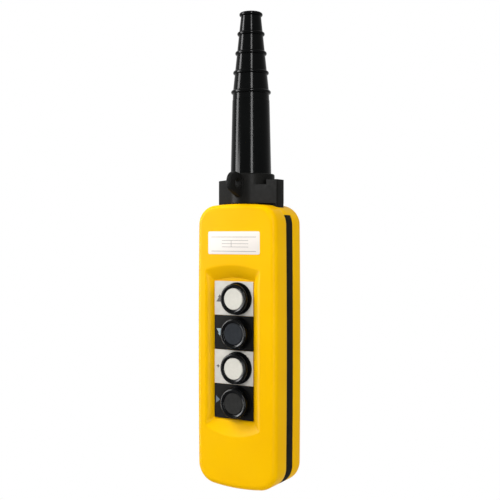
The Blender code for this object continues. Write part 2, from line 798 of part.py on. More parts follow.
def cable_boot(finish):
    """Stepped rubber boot: ribs round a cone, a plain skirt and a beaded foot in the collar."""
    profile = [(BOOT_HOLE_R, 0.0)]
    for i in range(RIBS):
        middle = rib_height(i)
        crown = boot_radius(middle) + RIB_STAND
        upper = middle + RIB_T / 2.0
        lower = middle - RIB_T / 2.0
        if i > 0:
            profile.append((boot_radius(upper), upper))
        profile.append((crown - RIB_EDGE, upper))
        profile.append((crown, upper - RIB_EDGE))
        profile.append((crown, lower + RIB_EDGE))
        profile.append((crown - RIB_EDGE, lower))
        profile.append((boot_radius(lower), lower))
    step_z = rib_height(RIBS - 1) - BOOT_STEP_BELOW_RIB
    profile.append((boot_radius(step_z), step_z))
    profile.append((boot_radius(step_z) + BOOT_STEP, step_z - BOOT_STEP))
    foot = BOOT_SEAT + GAP
    profile += [
        (BOOT_FOOT_R, COLLAR_TOP),
        (BOOT_FOOT_R, foot + BEAD_H + BEAD_STAND),
        (BOOT_FOOT_R + BEAD_STAND, foot + BEAD_H),
        (BOOT_FOOT_R + BEAD_STAND, foot),
        (BOOT_FOOT_R - BOOT_WALL, foot),
        (BOOT_FOOT_R - BOOT_WALL, COLLAR_TOP),
        (BOOT_KNEE_R - BOOT_WALL, rib_height(RIBS - 1)),
        (BOOT_HOLE_R, -RIB_PITCH),
    ]
    return mesh_object("cable_boot", turned("cable_boot", profile), finish)


def legend_plate(i, z, finish):
    """Plate of one button, wider on the left of its hole for the symbol."""
    half_h = (PITCH - GAP) / 2.0
    left = PLATE_SHIFT - PLATE_W / 2.0
    outline = rounded_rect(left, left + PLATE_W, -half_h, half_h, PLATE_CORNER_R, RIM_STEPS)
    name = "legend_plate_%d" % (i + 1)
    place = (0.0, PLATE_Y, z)
    plate = mesh_object(name, prism(name, outline, -PLATE_T, 0.0), finish, place, TO_FRONT)
    hole = prism(name + "_hole", circle(PANEL_HOLE_R), -WALL, WALL)
    cut(plate, name + "_hole", hole, place, TO_FRONT)
    return plate


def bezel_mesh():
    """Round guard ring, base flange and threaded barrel, with a web that guides the plunger."""
    bore = CAP_R + GAP
    crown = (RING_R - bore) / 2.0
    middle = bore + crown
    barrel_r = PANEL_HOLE_R - GAP
    base_r = RING_R + BASE_LIP
    profile = [(bore, WEB_FRONT)]
    profile += arc(middle, RING_STAND - crown, crown, 180.0, 0.0, ARCH_STEPS)
    profile += [
        (RING_R, BASE_T),
        (base_r, BASE_T - BASE_EDGE),
        (base_r, GAP),
        (barrel_r, GAP),
        (barrel_r, -BARREL_END),
        (barrel_r - BARREL_WALL, -BARREL_END),
        (barrel_r - BARREL_WALL, WEB_FRONT - WEB_T),
        (STEM_R + GAP, WEB_FRONT - WEB_T),
        (STEM_R + GAP, WEB_FRONT),
    ]
    return turned("button_bezel", profile)


def cap_mesh():
    inner = CAP_R - CAP_WALL
    profile = [
        (0.0, CAP_STAND),
        (CAP_R - CAP_EDGE_R, CAP_STAND),
        (CAP_R, CAP_STAND - CAP_EDGE_R),
        (CAP_R, CAP_STAND - CAP_SKIRT),
        (inner, CAP_STAND - CAP_SKIRT),
        (inner, CAP_STAND - CAP_WALL),
        (0.0, CAP_STAND - CAP_WALL),
    ]
    return turned("button_cap", profile)


def plunger_mesh():
    """Stem with a flat head inside the cap and a tapered tip inside the contact block."""
    head_r = CAP_R - CAP_WALL - GAP
    profile = [
        (0.0, HEAD_FRONT),
        (head_r, HEAD_FRONT),
        (head_r, HEAD_BACK),
        (STEM_R, HEAD_BACK),
        (STEM_R, PLUNGER_TIP + STEM_R / 3.0),
        (STEM_R * 2.0 / 3.0, PLUNGER_TIP),
        (0.0, PLUNGER_TIP),
    ]
    return turned("button_plunger", profile, SMALL_STEPS)


def spring_mesh():
    """Open coil between the web and the plunger's head."""
    wire = SPRING_WIRE / 2.0
    coil_r = (STEM_R + GAP + CAP_R - CAP_WALL) / 2.0
    low = WEB_FRONT + GAP + wire
    high = HEAD_BACK - GAP - wire
    count = SPRING_TURNS * COIL_STEPS
    rings = []
    for i in range(count + 1):
        angle = 2.0 * math.pi * i / COIL_STEPS
        out = Vector((math.cos(angle), math.sin(angle), 0.0))
        centre = out * coil_r + Vector((0.0, 0.0, low + (high - low) * i / count))
        ring = []
        for k in range(WIRE_SIDES):
            turn = 2.0 * math.pi * k / WIRE_SIDES
            ring.append(centre + out * (wire * math.cos(turn)) + Vector((0.0, 0.0, wire * math.sin(turn))))
        rings.append(ring)
    return loft("return_spring", rings)


def nut_mesh():
    """Ring nut with spanner notches round its rim."""
    outline = []
    rim = PANEL_HOLE_R + NUT_RIM
    valley = rim - NUT_NOTCH_DEPTH
    for i in range(NUT_NOTCHES):
        for share, radius in ((0.0, rim), (NUT_LAND, rim), (NUT_LAND, valley), (1.0, valley)):
            angle = 2.0 * math.pi * (i + share) / NUT_NOTCHES
            outline.append((radius * math.cos(angle), radius * math.sin(angle)))
    return prism("mounting_nut", outline, NUT_FRONT - NUT_T, NUT_FRONT)


def contact_outline():
    """Plan of a contact block: full width at its terminals, stepped in behind the nut."""
    step = BLOCK_FRONT - BLOCK_STEP
    right = [
        (BLOCK_W / 2.0, BLOCK_BACK),
        (BLOCK_W / 2.0, step),
        (BLOCK_WAIST / 2.0, step),
        (BLOCK_WAIST / 2.0, BLOCK_FRONT),
    ]
    return right + [(-x, depth) for x, depth in reversed(right)]


def contact_block(i, z, finish):
    name = "contact_block_%d" % (i + 1)
    rings = []
    for height in (-BLOCK_H / 2.0, BLOCK_H / 2.0):
        rings.append([(x, height, depth) for x, depth in contact_outline()])
    place = (0.0, PLATE_Y, z)
    block = mesh_object(name, loft(name, rings), finish, place, TO_FRONT)
    end = PLUNGER_TIP - TRAVEL - STEM_SPARE
    way = prism(name + "_way", circle(STEM_R + 2.0 * GAP, SMALL_STEPS), end, BLOCK_FRONT + WALL)
    cut(block, name + "_way", way, place, TO_FRONT)
    shape = circle(TERMINAL_HOLE_R, TINY_STEPS)
    hole = prism(name + "_terminal", shape, BLOCK_BACK - WALL, BLOCK_BACK + TERMINAL_DEPTH)
    for side, label in SIDES:
        cut(block, name + "_terminal_" + label, hole, (side * TERMINAL_X, PLATE_Y, z), TO_FRONT)
    return block


def socket_screw(name, head_r, head_t, shank_r, length):
    """Screw along local Z: its head's outer face at 0, its shank running to -length."""
    profile = [
        (0.0, -DRIVE_DEPTH),
        (DRIVE_R, -DRIVE_DEPTH),
        (DRIVE_R, 0.0),
        (head_r, 0.0),
        (head_r, -head_t),
        (shank_r, -head_t),
        (shank_r, -length),
        (0.0, -length),
    ]
    return turned(name, profile, TINY_STEPS)


def cable_clamp(finish):
    """Saddle that holds the cable against its bosses."""
    outer_r = CLAMP_SADDLE_R + CLAMP_T
    rise = math.degrees(math.asin(CLAMP_T / outer_r))
    outline = [(CLAMP_HALF_W, 0.0), (CLAMP_HALF_W, CLAMP_T)]
    outline += arc(0.0, 0.0, outer_r, rise, 180.0 - rise, SMALL_STEPS)
    outline += [(-CLAMP_HALF_W, CLAMP_T), (-CLAMP_HALF_W, 0.0)]
    outline += arc(0.0, 0.0, CLAMP_SADDLE_R, 180.0, 0.0, SMALL_STEPS)
    rings = []
    for height in (-CLAMP_H / 2.0, CLAMP_H / 2.0):
        rings.append([(x, height, depth) for x, depth in outline])
    place = (0.0, CLAMP_Y, CLAMP_Z)
    clamp = mesh_object("cable_clamp", loft("cable_clamp", rings), finish, place, TO_FRONT)
    hole = prism("clamp_hole", circle(SHANK_HOLE_R, TINY_STEPS), -CLAMP_T, CLAMP_T * 2.0)
    for side, label in SIDES:
        cut(clamp, "clamp_hole_" + label, hole, (side * CLAMP_SCREW_X, CLAMP_Y, CLAMP_Z), TO_FRONT)
    return clamp


def housing_screws(finish):
    head_y = REAR_DEPTH - HEAD_HOLE_DEPTH + HEAD_T + GAP
    length = head_y - PILLAR_MEET_Y + SCREW_GRIP
    screw = socket_screw("shell_screw", HEAD_R, HEAD_T, SHANK_R, length)
    for i, (x, z) in enumerate(screw_places()):
        mesh_object("shell_screw_%d" % (i + 1), screw, finish, (x, head_y, z), TO_REAR)


def clamp_screws(finish):
    head_y = CLAMP_Y - CLAMP_T - GAP - HEAD_T
    length = HEAD_T + GAP + CLAMP_T + SCREW_GRIP
    screw = socket_screw("clamp_screw", HEAD_R, HEAD_T, SHANK_R, length)
    for i, (side, _) in enumerate(SIDES):
        place = (side * CLAMP_SCREW_X, head_y, CLAMP_Z)
        mesh_object("clamp_screw_%d" % (i + 1), screw, finish, place, TO_FRONT)


def push_buttons():
    """Four buttons down the column: the guard, cap, plunger, spring, nut and contact block of each."""
    black = material("bezel_black", BLACK, 0.22)
    cap_finishes = [
        material("cap_white", WHITE, 0.4),
        material("cap_slate", SLATE, 0.4),
        material("cap_white", WHITE, 0.4),
        material("cap_dark", DARK_GREY, 0.45),
    ]
    nylon = material("plunger_nylon", NATURAL, 0.5)
    steel = material("zinc_steel", STEEL, 0.35, 1.0)
    grey = material("contact_grey", MOULDED_GREY, 0.5)
    plates = [material("plate_white", WHITE, 0.45), material("plate_black", BLACK, 0.4)]
    bezel = bezel_mesh()
    plunger = plunger_mesh()
    spring = spring_mesh()
    nut = nut_mesh()
    length = TERMINAL_DEPTH - GAP
    terminal = socket_screw("terminal_screw", TERMINAL_SCREW_R, TERMINAL_HEAD_T, TERMINAL_SHANK_R, length)
    bore = prism("nut_bore", circle(PANEL_HOLE_R), NUT_FRONT - NUT_T - WALL, NUT_FRONT + WALL)
    for i, z in enumerate(button_heights()):
        place = (0.0, PLATE_Y, z)
        number = i + 1
        legend_plate(i, z, plates[i % 2])
        mesh_object("button_bezel_%d" % number, bezel, black, place, TO_FRONT)
        cap = cap_mesh()
        mesh_object("button_cap_%d" % number, cap, cap_finishes[i % len(cap_finishes)], place, TO_FRONT)
        mesh_object("button_plunger_%d" % number, plunger, nylon, place, TO_FRONT)
        mesh_object("return_spring_%d" % number, spring, steel, place, TO_FRONT)
        ring_nut = mesh_object("mounting_nut_%d" % number, nut, grey, place, TO_FRONT)
        cut(ring_nut, "nut_bore_%d" % number, bore, place, TO_FRONT)
        contact_block(i, z, grey)
        for side, label in SIDES:
            spot = (side * TERMINAL_X, PLATE_Y - BLOCK_BACK, z)
            mesh_object("terminal_screw_%d_%s" % (number, label), terminal, steel, spot, TO_REAR)


def main():
    clear_scene()
    yellow = material("housing_yellow", YELLOW, 0.38)
    seal_rubber = material("seal_rubber", BLACK, 0.6)
    collar_grey = material("collar_plastic", DARK_GREY, 0.42)
    boot_rubber = material("boot_rubber", RUBBER, 0.35)
    steel = material("zinc_steel", STEEL, 0.35, 1.0)
    front_shell(yellow)
    rear_shell(yellow)
    shell_seal(seal_rubber)
    cable_collar(collar_grey)
    cable_boot(boot_rubber)
    push_buttons()
    cable_clamp(collar_grey)
    housing_screws(steel)
    clamp_screws(steel)


main()
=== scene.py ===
import json
import math

import bmesh
import bpy
from mathutils import Euler, Matrix, Vector

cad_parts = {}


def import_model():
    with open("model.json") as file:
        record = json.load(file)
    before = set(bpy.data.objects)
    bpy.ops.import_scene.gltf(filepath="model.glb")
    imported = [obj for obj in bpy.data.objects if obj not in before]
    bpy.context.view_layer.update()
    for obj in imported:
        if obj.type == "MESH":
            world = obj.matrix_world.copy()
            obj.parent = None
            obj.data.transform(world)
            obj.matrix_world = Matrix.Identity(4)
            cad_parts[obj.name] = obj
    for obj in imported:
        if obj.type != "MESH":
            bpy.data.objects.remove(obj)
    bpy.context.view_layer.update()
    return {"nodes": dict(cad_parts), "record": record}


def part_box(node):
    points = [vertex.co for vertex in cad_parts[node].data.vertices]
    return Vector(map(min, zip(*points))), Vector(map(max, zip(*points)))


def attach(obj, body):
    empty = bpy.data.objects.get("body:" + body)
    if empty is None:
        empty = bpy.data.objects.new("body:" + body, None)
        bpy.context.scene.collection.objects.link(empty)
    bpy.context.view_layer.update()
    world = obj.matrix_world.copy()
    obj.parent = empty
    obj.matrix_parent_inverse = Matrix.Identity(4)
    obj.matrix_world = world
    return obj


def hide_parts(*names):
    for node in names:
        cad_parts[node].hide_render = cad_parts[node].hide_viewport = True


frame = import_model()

MM = 0.001
GAP = 0.3 * MM
SET_IN = 0.1 * MM
UP = Vector((0.0, 0.0, 1.0))
TO_FRONT = (math.pi / 2.0, 0.0, 0.0)
TO_REAR = (-math.pi / 2.0, 0.0, 0.0)
HOME = (0.0, 0.0, 0.0)
LUG_TURN = (math.pi / 2.0, 0.0, math.pi / 2.0)
EYE_TURN = (0.0, math.pi / 2.0, 0.0)

# Camera of the photograph
VIEW_TURN = math.radians(30.69)
VIEW_DISTANCE = 779.37 * MM
VIEW_SIDESTEP = -0.888 * MM
VIEW_HEIGHT = -197.3 * MM
LENS = 63.18
SENSOR = 36.0
SHIFT_UP = -0.0296

# Housing, placed by the frame's boxes
FRONT_LOW, FRONT_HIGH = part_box("front_shell")
SEAL_LOW, SEAL_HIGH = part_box("shell_seal")
BODY_TOP = FRONT_HIGH.z
BODY_BOTTOM = FRONT_LOW.z
FACE_Y = FRONT_LOW.y
BACK_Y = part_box("rear_shell")[1].y
HALF_MIDDLE = FRONT_HIGH.x
SEAM_FRONT = SEAL_LOW.y - GAP
SEAM_REAR = SEAL_HIGH.y + GAP
HALF_ENDS = 39.3 * MM
TOP_ARCH = 1.0 * MM
BOTTOM_ARCH = 1.6 * MM
TOP_CORNER = 17.0 * MM
BOTTOM_CORNER = 17.8 * MM
FRONT_EDGE = 4.8 * MM
REAR_EDGE = 7.6 * MM
SEAM_EDGE = 0.35 * MM
WALL = 2.8 * MM
SEAL_W = 5.0 * MM
SEAL_EDGE = 0.9 * MM
SEAL_END = 30.0
SEAM_CLOSE = 0.25 * MM
SIDE_SHARES = (0.35, 0.7)
FACE_SHARES = (0.04, 0.2, 0.4, 0.6, 0.8, 0.96)
BACK_INSETS = (0.5 * MM, 3.0 * MM, 6.0 * MM, 9.0 * MM)

# Rear screws and their wells
SLEEVE_R = 5.2 * MM
SLEEVE_END = 9.4 * MM
WELL_MOUTH_R = 4.6 * MM
WELL_MOUTH_TOP = 0.5 * MM
WELL_MOUTH_END = 0.3 * MM
WELL_R = 3.8 * MM
WELL_END = 8.0 * MM
SCREW_WAY_R = 2.1 * MM
SCREW_WAY_END = 12.0 * MM
SCREW_HEAD_R = 3.3 * MM
SCREW_HEAD_T = 2.6 * MM
SCREW_HEAD_EDGE = 0.5 * MM
SOCKET_R = 1.5 * MM
SOCKET_DEPTH = 1.6 * MM
SOCKET_ABOVE = 1.0 * MM

# Button column, placed by the frame's boxes
PLATE_LOW, PLATE_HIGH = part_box("legend_plate_1")
LAST_PLATE_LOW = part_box("legend_plate_4")[0]
BEZEL_LOW, BEZEL_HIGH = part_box("button_bezel_1")
CAP_LOW, CAP_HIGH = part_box("button_cap_1")
PLATE_Y = PLATE_LOW.y
PLATE_T = PLATE_HIGH.y - PLATE_LOW.y
PLATE_CX = (PLATE_LOW.x + PLATE_HIGH.x) / 2.0
PLATE_HALF = (PLATE_HIGH.x - PLATE_LOW.x) / 2.0
FLOOR_Y = PLATE_HIGH.y + GAP
PANEL_HOLE_R = 11.2 * MM
TRAVEL = 4.3 * MM
RIM_HALF = 27.9 * MM
RIM_CX = -3.3 * MM
RIM_TOP_RUN = 10.4 * MM
RIM_BOTTOM_RUN = 8.5 * MM
RIM_TOP_ARCH = 3.6 * MM
RIM_BOTTOM_ARCH = 6.0 * MM
RIM_CORNER = 3.5 * MM
LEDGE = 0.6 * MM
LEDGE_ARCH = 2.6 * MM
FLOOR_CORNER = 1.2 * MM
SIDE_CURVE = 1.35
END_CURVE = 1.75
PLATE_CORNER = 0.6 * MM
PLATE_EDGE = 0.18 * MM
MARK_T = 0.04 * MM
MARK_LIFT = 0.02 * MM

# Guard rings: heights are measured forward from the plates, depths behind them
GUARD_FLANGE = 1.1 * MM
GUARD_LIP_R = 0.7 * MM
GUARD_LIP_DROP = 1.3 * MM
GUARD_CROWN_R = 1.45 * MM
GUARD_CROWN_START = 110.0
GUARD_WAIST = 0.25 * MM
GUARD_WAIST_HEIGHTS = (3.4 * MM, 3.1 * MM, 2.2 * MM, 1.8 * MM)
GUARD_BASE_T = 1.5 * MM
GUARD_BASE_EDGE = 0.3 * MM
GUARD_BORE_LINE = 2.0 * MM
GUARD_FLOOR_TOP = 3.8 * MM
GUARD_FLOOR_END = 5.3 * MM
GUARD_BARREL_END = 12.0 * MM
GUARD_BARREL_WALL = 2.3 * MM
PLUNGER_WAY_R = 3.8 * MM

# Caps: the dish is given as shares of the radius and depths
CAP_DISH = ((0.0, 0.12 * MM), (0.5, 0.1 * MM), (0.85, 0.03 * MM))
CAP_EDGE = 0.6 * MM
CAP_SKIRT = 7.0 * MM
CAP_WALL = 1.5 * MM

# Collar and boot, placed by the frame's boxes
COLLAR_LOW, COLLAR_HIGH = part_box("cable_collar")
BOOT_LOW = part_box("cable_boot")[0]
LUG_RISE = 0.8 * MM
COLLAR_TOP = COLLAR_HIGH.z - LUG_RISE
BOOT_FOOT_R = 18.05 * MM
RING_R = BOOT_FOOT_R + GAP + 2.65 * MM
RING_STEP = 0.35 * MM
RING_BOTTOM = COLLAR_TOP - 10.0 * MM
RING_EDGE = 1.4 * MM
RING_SKIRT = 4.0 * MM
EAR_TOP = COLLAR_TOP - 5.4 * MM
LEFT_EAR_X = 15.0 * MM
RIGHT_EAR_X = 22.1 * MM
EAR_ROOT_IN = 2.0 * MM
EAR_ROOT_Y = 4.0 * MM
BLOCK_EDGE = 0.5 * MM
WING_HALF = COLLAR_HIGH.x
WING_FRONT = -7.1 * MM
WING_REAR = 6.7 * MM
WING_CORNER = 2.2 * MM
WING_TOP = BODY_TOP + 3.0 * GAP
SAME_POINT = GAP / 10.0
NECK_R = 13.0 * MM
CABLE_BORE_R = 8.5 * MM
BOOT_TOP_R = 8.6 * MM
BOOT_KNEE_R = 16.1 * MM
BOOT_HOLE_R = 7.0 * MM
BOOT_WALL = 2.4 * MM
RIBS = 5
RIB_PITCH = 17.25 * MM
RIB_T = 3.4 * MM
RIB_STAND = 1.6 * MM
RIB_CLEAR = 0.02 * MM
BOOT_STEP_BELOW_RIB = 7.0 * MM
BOOT_STEP = 0.25 * MM
LUG_T = 5.0 * MM
LUG_REACH = RING_R + 7.5 * MM
LUG_HEAD_R = 9.3 * MM
LUG_EYE_R = 3.7 * MM
LUG_EYE_BEVEL = 0.9 * MM
LUG_EYE_BACK = 2.5 * MM
LUG_EYE_DROP = 9.0 * MM
LUG_TAIL = 22.2 * MM
LUG_WRAP = 220.0
LUG_EDGE = 0.7 * MM

# Label field on the front
LABEL_X = (-27.7 * MM, 24.5 * MM)
LABEL_Z = (-213.8 * MM, -194.0 * MM)
LABEL_T = 0.12 * MM
LABEL_CORNER = 1.5 * MM
LABEL_SUNK = 0.02 * MM
LABEL_EDGE = 0.05 * MM
RULE_T = 0.03 * MM
# Each rule in millimetres: left, right, drop below the label's top, thickness
LABEL_RULES = (
    (-24.4, 20.8, 4.7, 0.3),
    (-13.6, 13.2, 7.7, 0.25),
    (-13.6, 13.2, 10.5, 0.25),
    (-13.6, 13.2, 13.3, 0.25),
    (-24.4, 20.8, 17.0, 0.3),
    (-4.2, -3.9, 7.7, 5.85),
)

# Mesh fineness
CORNER_STEPS = 14
SIDE_STEPS = 30
END_STEPS = 14
EDGE_STEPS = 10
SCOOP_STEPS = 16
TURN_STEPS = 128
LEAN_ROUNDS = 12
SPLIT_GAP = 0.05
MITRE_LIMIT = 0.5
SMALL_STEPS = 48
SEAM_STEPS = 3
SEAL_STEPS = 4
BARREL_STEPS = 12
WING_STEPS = 8
LUG_STEPS = 40
RIB_STEPS = 16
CONE_STEPS = 12
SKIRT_STEPS = 24
CROWN_STEPS = 12
LIP_STEPS = 6
HEAD_STEPS = 5
SHARP = 35.0
SHARP_CUT = 32.0
SHARP_TURNED = 40.0

# Surface textures
CLOUD_LOW = 0.3
CLOUD_HIGH = 0.7
SMEAR_FINER = 3.0
GLOSS_LOW = 0.9
GLOSS_HIGH = 1.12
BUMP_STRENGTH = 0.35

# Studio
WORLD_LEVEL = 0.47
STAGE_R = 0.85
STAGE_T = 0.01
STAGE_DROP = 0.35
STAGE_STEPS = 96


def linear(r, g, b):
    """Scene-linear RGBA of an 8-bit display colour."""
    channels = []
    for value in (r, g, b):
        level = value / 255.0
        if level <= 0.04045:
            channels.append(level / 12.92)
        else:
            channels.append(((level + 0.055) / 1.055) ** 2.4)
    return (channels[0], channels[1], channels[2], 1.0)


def add_node(tree, kind, **settings):
    made = tree.nodes.new(kind)
    for key, value in settings.items():
        setattr(made, key, value)
    return made


def noise(tree, coords, scale, detail):
    made = add_node(tree, "ShaderNodeTexNoise")
    made.inputs["Scale"].default_value = scale
    made.inputs["Detail"].default_value = detail
    tree.links.new(coords.outputs["Object"], made.inputs["Vector"])
    return made


def spread(tree, source, low, high):
    """Map a texture's middle range to low..high."""
    made = add_node(tree, "ShaderNodeMapRange")
    made.inputs["From Min"].default_value = CLOUD_LOW
    made.inputs["From Max"].default_value = CLOUD_HIGH
    made.inputs["To Min"].default_value = low
    made.inputs["To Max"].default_value = high
    tree.links.new(source.outputs["Fac"], made.inputs["Value"])
    return made


def plastic(name, dark, light, rough, specular, grain, grain_depth, mottle=60.0, metallic=0.0):
    """Moulded surface: cloudy colour between two tones, uneven gloss and a fine grain."""
    made = bpy.data.materials.new(name)
    made.use_nodes = True
    tree = made.node_tree
    shader = tree.nodes["Principled BSDF"]
    shader.inputs["Metallic"].default_value = metallic
    shader.inputs["Specular IOR Level"].default_value = specular
    coords = add_node(tree, "ShaderNodeTexCoord")
    cloud = noise(tree, coords, mottle, 4.0)
    share = spread(tree, cloud, 0.0, 1.0)
    blend = add_node(tree, "ShaderNodeMix", data_type="RGBA")
    blend.inputs["A"].default_value = linear(*dark)
    blend.inputs["B"].default_value = linear(*light)
    tree.links.new(share.outputs["Result"], blend.inputs["Factor"])
    tree.links.new(blend.outputs["Result"], shader.inputs["Base Color"])
    smear = noise(tree, coords, mottle * SMEAR_FINER, 3.0)
    gloss = spread(tree, smear, rough * GLOSS_LOW, rough * GLOSS_HIGH)
    tree.links.new(gloss.outputs["Result"], shader.inputs["Roughness"])
    pits = noise(tree, coords, grain, 2.0)
    bump = add_node(tree, "ShaderNodeBump")
    bump.inputs["Strength"].default_value = BUMP_STRENGTH
    bump.inputs["Distance"].default_value = grain_depth
    tree.links.new(pits.outputs["Fac"], bump.inputs["Height"])
    tree.links.new(bump.outputs["Normal"], shader.inputs["Normal"])
    return made


def arc(cx, cy, radius, start, end, steps):
    """Points on an arc, angles in degrees."""
    points = []
    for i in range(steps + 1):
        angle = math.radians(start + (end - start) * i / steps)
        points.append((cx + radius * math.cos(angle), cy + radius * math.sin(angle)))
    return points


def circle(radius, steps=SMALL_STEPS):
    return arc(0.0, 0.0, radius, 0.0, 360.0 * (steps - 1) / steps, steps - 1)


def rounded_rect(x0, x1, y0, y1, radius, steps=WING_STEPS):
    points = arc(x1 - radius, y0 + radius, radius, -90.0, 0.0, steps)
    points += arc(x1 - radius, y1 - radius, radius, 0.0, 90.0, steps)
    points += arc(x0 + radius, y1 - radius, radius, 90.0, 180.0, steps)
    points += arc(x0 + radius, y0 + radius, radius, 180.0, 270.0, steps)
    return points


def close_mesh(name, bm, sharp=SHARP):
    bmesh.ops.recalc_face_normals(bm, faces=bm.faces)
    data = bpy.data.meshes.new(name)
    bm.to_mesh(data)
    bm.free()
    data.shade_smooth()
    data.set_sharp_from_angle(angle=math.radians(sharp))
    return data


def loft(name, rings):
    """Skin equal rings and cap both ends."""
    bm = bmesh.new()
    loops = []
    for ring in rings:
        loops.append([bm.verts.new(point) for point in ring])
    count = len(loops[0])
    for lower, upper in zip(loops, loops[1:]):
        for i in range(count):
            j = (i + 1) % count
            bm.faces.new((lower[i], lower[j], upper[j], upper[i]))
    bm.faces.new(loops[0])
    bm.faces.new(list(reversed(loops[-1])))
    return close_mesh(name, bm)


def turned(name, profile, steps=TURN_STEPS, sharp=SHARP):
    """Turn a closed (radius, height) profile round local Z; a point at radius 0 is one vertex."""
    bm = bmesh.new()
    columns = []
    for radius, height in profile:
        if radius <= 0.0:
            columns.append([bm.verts.new((0.0, 0.0, height))])
            continue
        columns.append([bm.verts.new((x, y, height)) for x, y in circle(radius, steps)])
    for k, lower in enumerate(columns):
        upper = columns[(k + 1) % len(columns)]
        if len(lower) == 1 and len(upper) == 1:
            continue
        for i in range(steps):
            j = (i + 1) % steps
            near = [lower[i % len(lower)], lower[j % len(lower)]]
            far = [upper[j % len(upper)], upper[i % len(upper)]]
            bm.faces.new(list(dict.fromkeys(near + far)))
    return close_mesh(name, bm, sharp)


def soft_prism(name, outline, low, high, edge, steps=4):
    """Extrude an outline along local Z with both ends rounded by edge."""
    rings = []
    for i in range(steps + 1):
        angle = 0.5 * math.pi * i / steps
        inset = edge * (1.0 - math.sin(angle))
        height = low + edge * (1.0 - math.cos(angle))
        rings.append([(x, y, height) for x, y in drawn_in(outline, inset)])
    for i in range(steps + 1):
        angle = 0.5 * math.pi * i / steps
        inset = edge * (1.0 - math.cos(angle))
        height = high - edge * (1.0 - math.sin(angle))
        rings.append([(x, y, height) for x, y in drawn_in(outline, inset)])
    return loft(name, rings)


def drawn_in(outline, distance):
    """Offset a closed outline towards its inside by moving each point along its own normal."""
    if distance <= 0.0:
        return list(outline)
    count = len(outline)
    area = 0.0
    for i in range(count):
        x0, y0 = outline[i]
        x1, y1 = outline[(i + 1) % count]
        area += x0 * y1 - x1 * y0
    turn = 1.0 if area > 0.0 else -1.0
    moved = []
    for i in range(count):
        before = Vector(outline[i - 1])
        here = Vector(outline[i])
        after = Vector(outline[(i + 1) % count])
        first = (here - before).normalized()
        second = (after - here).normalized()
        n1 = Vector((-first.y, first.x)) * turn
        n2 = Vector((-second.y, second.x)) * turn
        middle = n1 + n2
        reach = distance / max(MITRE_LIMIT, middle.length / 2.0)
        moved.append(tuple(here + middle.normalized() * reach))
    return moved


def place(name, mesh_data, finish, body, at=HOME, turn=HOME, nodes=()):
    """Put a piece in the scene on its body, in place of the frame's nodes that it stands for."""
    obj = bpy.data.objects.new(name, mesh_data)
    obj.location = at
    obj.rotation_euler = turn
    bpy.context.scene.collection.objects.link(obj)
    mesh_data.materials.clear()
    mesh_data.materials.append(finish)
    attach(obj, body)
    if nodes:
        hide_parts(*nodes)


def carved(name, mesh_data, steps):
    """The mesh after exact Booleans; each step is an operation, a mesh, its place and its turn."""
    base = bpy.data.objects.new(name, mesh_data)
    bpy.context.scene.collection.objects.link(base)
    tools = []
    for operation, tool_mesh, at, turn in steps:
        tool = bpy.data.objects.new(name + "_tool", tool_mesh)
        tool.location = at
        tool.rotation_euler = turn
        bpy.context.scene.collection.objects.link(tool)
        tools.append(tool)
        step = base.modifiers.new(operation.title(), "BOOLEAN")
        step.operation = operation
        step.object = tool
        step.solver = "EXACT"
    bpy.context.view_layer.update()
    graph = bpy.context.evaluated_depsgraph_get()
    result = bpy.data.meshes.new_from_object(base.evaluated_get(graph))
    for obj in tools + [base]:
        bpy.data.objects.remove(obj, do_unlink=True)
    result.name = name
    result.shade_smooth()
    result.set_sharp_from_angle(angle=math.radians(SHARP_CUT))
    return result


def copies(name, *groups):
    """One mesh from groups of a mesh, the places of its copies and their turn."""
    bm = bmesh.new()
    for mesh_data, places, turn in groups:
        spin = Euler(turn).to_matrix().to_4x4()
        for spot in places:
            before = len(bm.verts)
            bm.from_mesh(mesh_data)
            bm.verts.ensure_lookup_table()
            bmesh.ops.transform(bm, matrix=Matrix.Translation(spot) @ spin, verts=bm.verts[before:])
    return close_mesh(name, bm)


def prism(name, outline, low, high):
    rings = [[(x, y, height) for x, y in outline] for height in (low, high)]
    return loft(name, rings)


def end_lean(half, radius, arch):
    """Angle at which a bowed end leaves its round corner, and half the length of the bow."""
    lean = 0.0
    for _ in range(LEAN_ROUNDS):
        reach = half - radius + radius * math.sin(lean)
        lean = math.atan2(2.0 * arch, reach)
    return lean, reach


def column_outline(cx, half, top, bottom, r_top, r_bottom, arch_top=0.0, arch_bottom=0.0, split=0.0):
    """Upright outline with round corners that run on smoothly into bowed ends."""
    lean_top, reach_top = end_lean(half, r_top, arch_top)
    lean_bottom, reach_bottom = end_lean(half, r_bottom, arch_bottom)
    high = top - r_top * math.cos(lean_top)
    low = bottom + r_bottom * math.cos(lean_bottom)
    right = arc(half - r_bottom, low, r_bottom, math.degrees(lean_bottom) - 90.0, 0.0, CORNER_STEPS)
    for i in range(1, SIDE_STEPS):
        right.append((half, low + (high - low) * i / SIDE_STEPS))
    end = 90.0 - math.degrees(lean_top)
    middle = split or end / 2.0
    right += arc(half - r_top, high, r_top, 0.0, middle - SPLIT_GAP, CORNER_STEPS // 2)
    right += arc(half - r_top, high, r_top, middle + SPLIT_GAP, end, CORNER_STEPS // 2)
    points = list(right)
    for i in range(1, END_STEPS):
        share = 1.0 - 2.0 * i / END_STEPS
        points.append((reach_top * share, top + arch_top * (1.0 - share * share)))
    points += [(-x, z) for x, z in reversed(right)]
    for i in range(1, END_STEPS):
        share = 2.0 * i / END_STEPS - 1.0
        points.append((reach_bottom * share, bottom - arch_bottom * (1.0 - share * share)))
    return [(x + cx, z) for x, z in points]


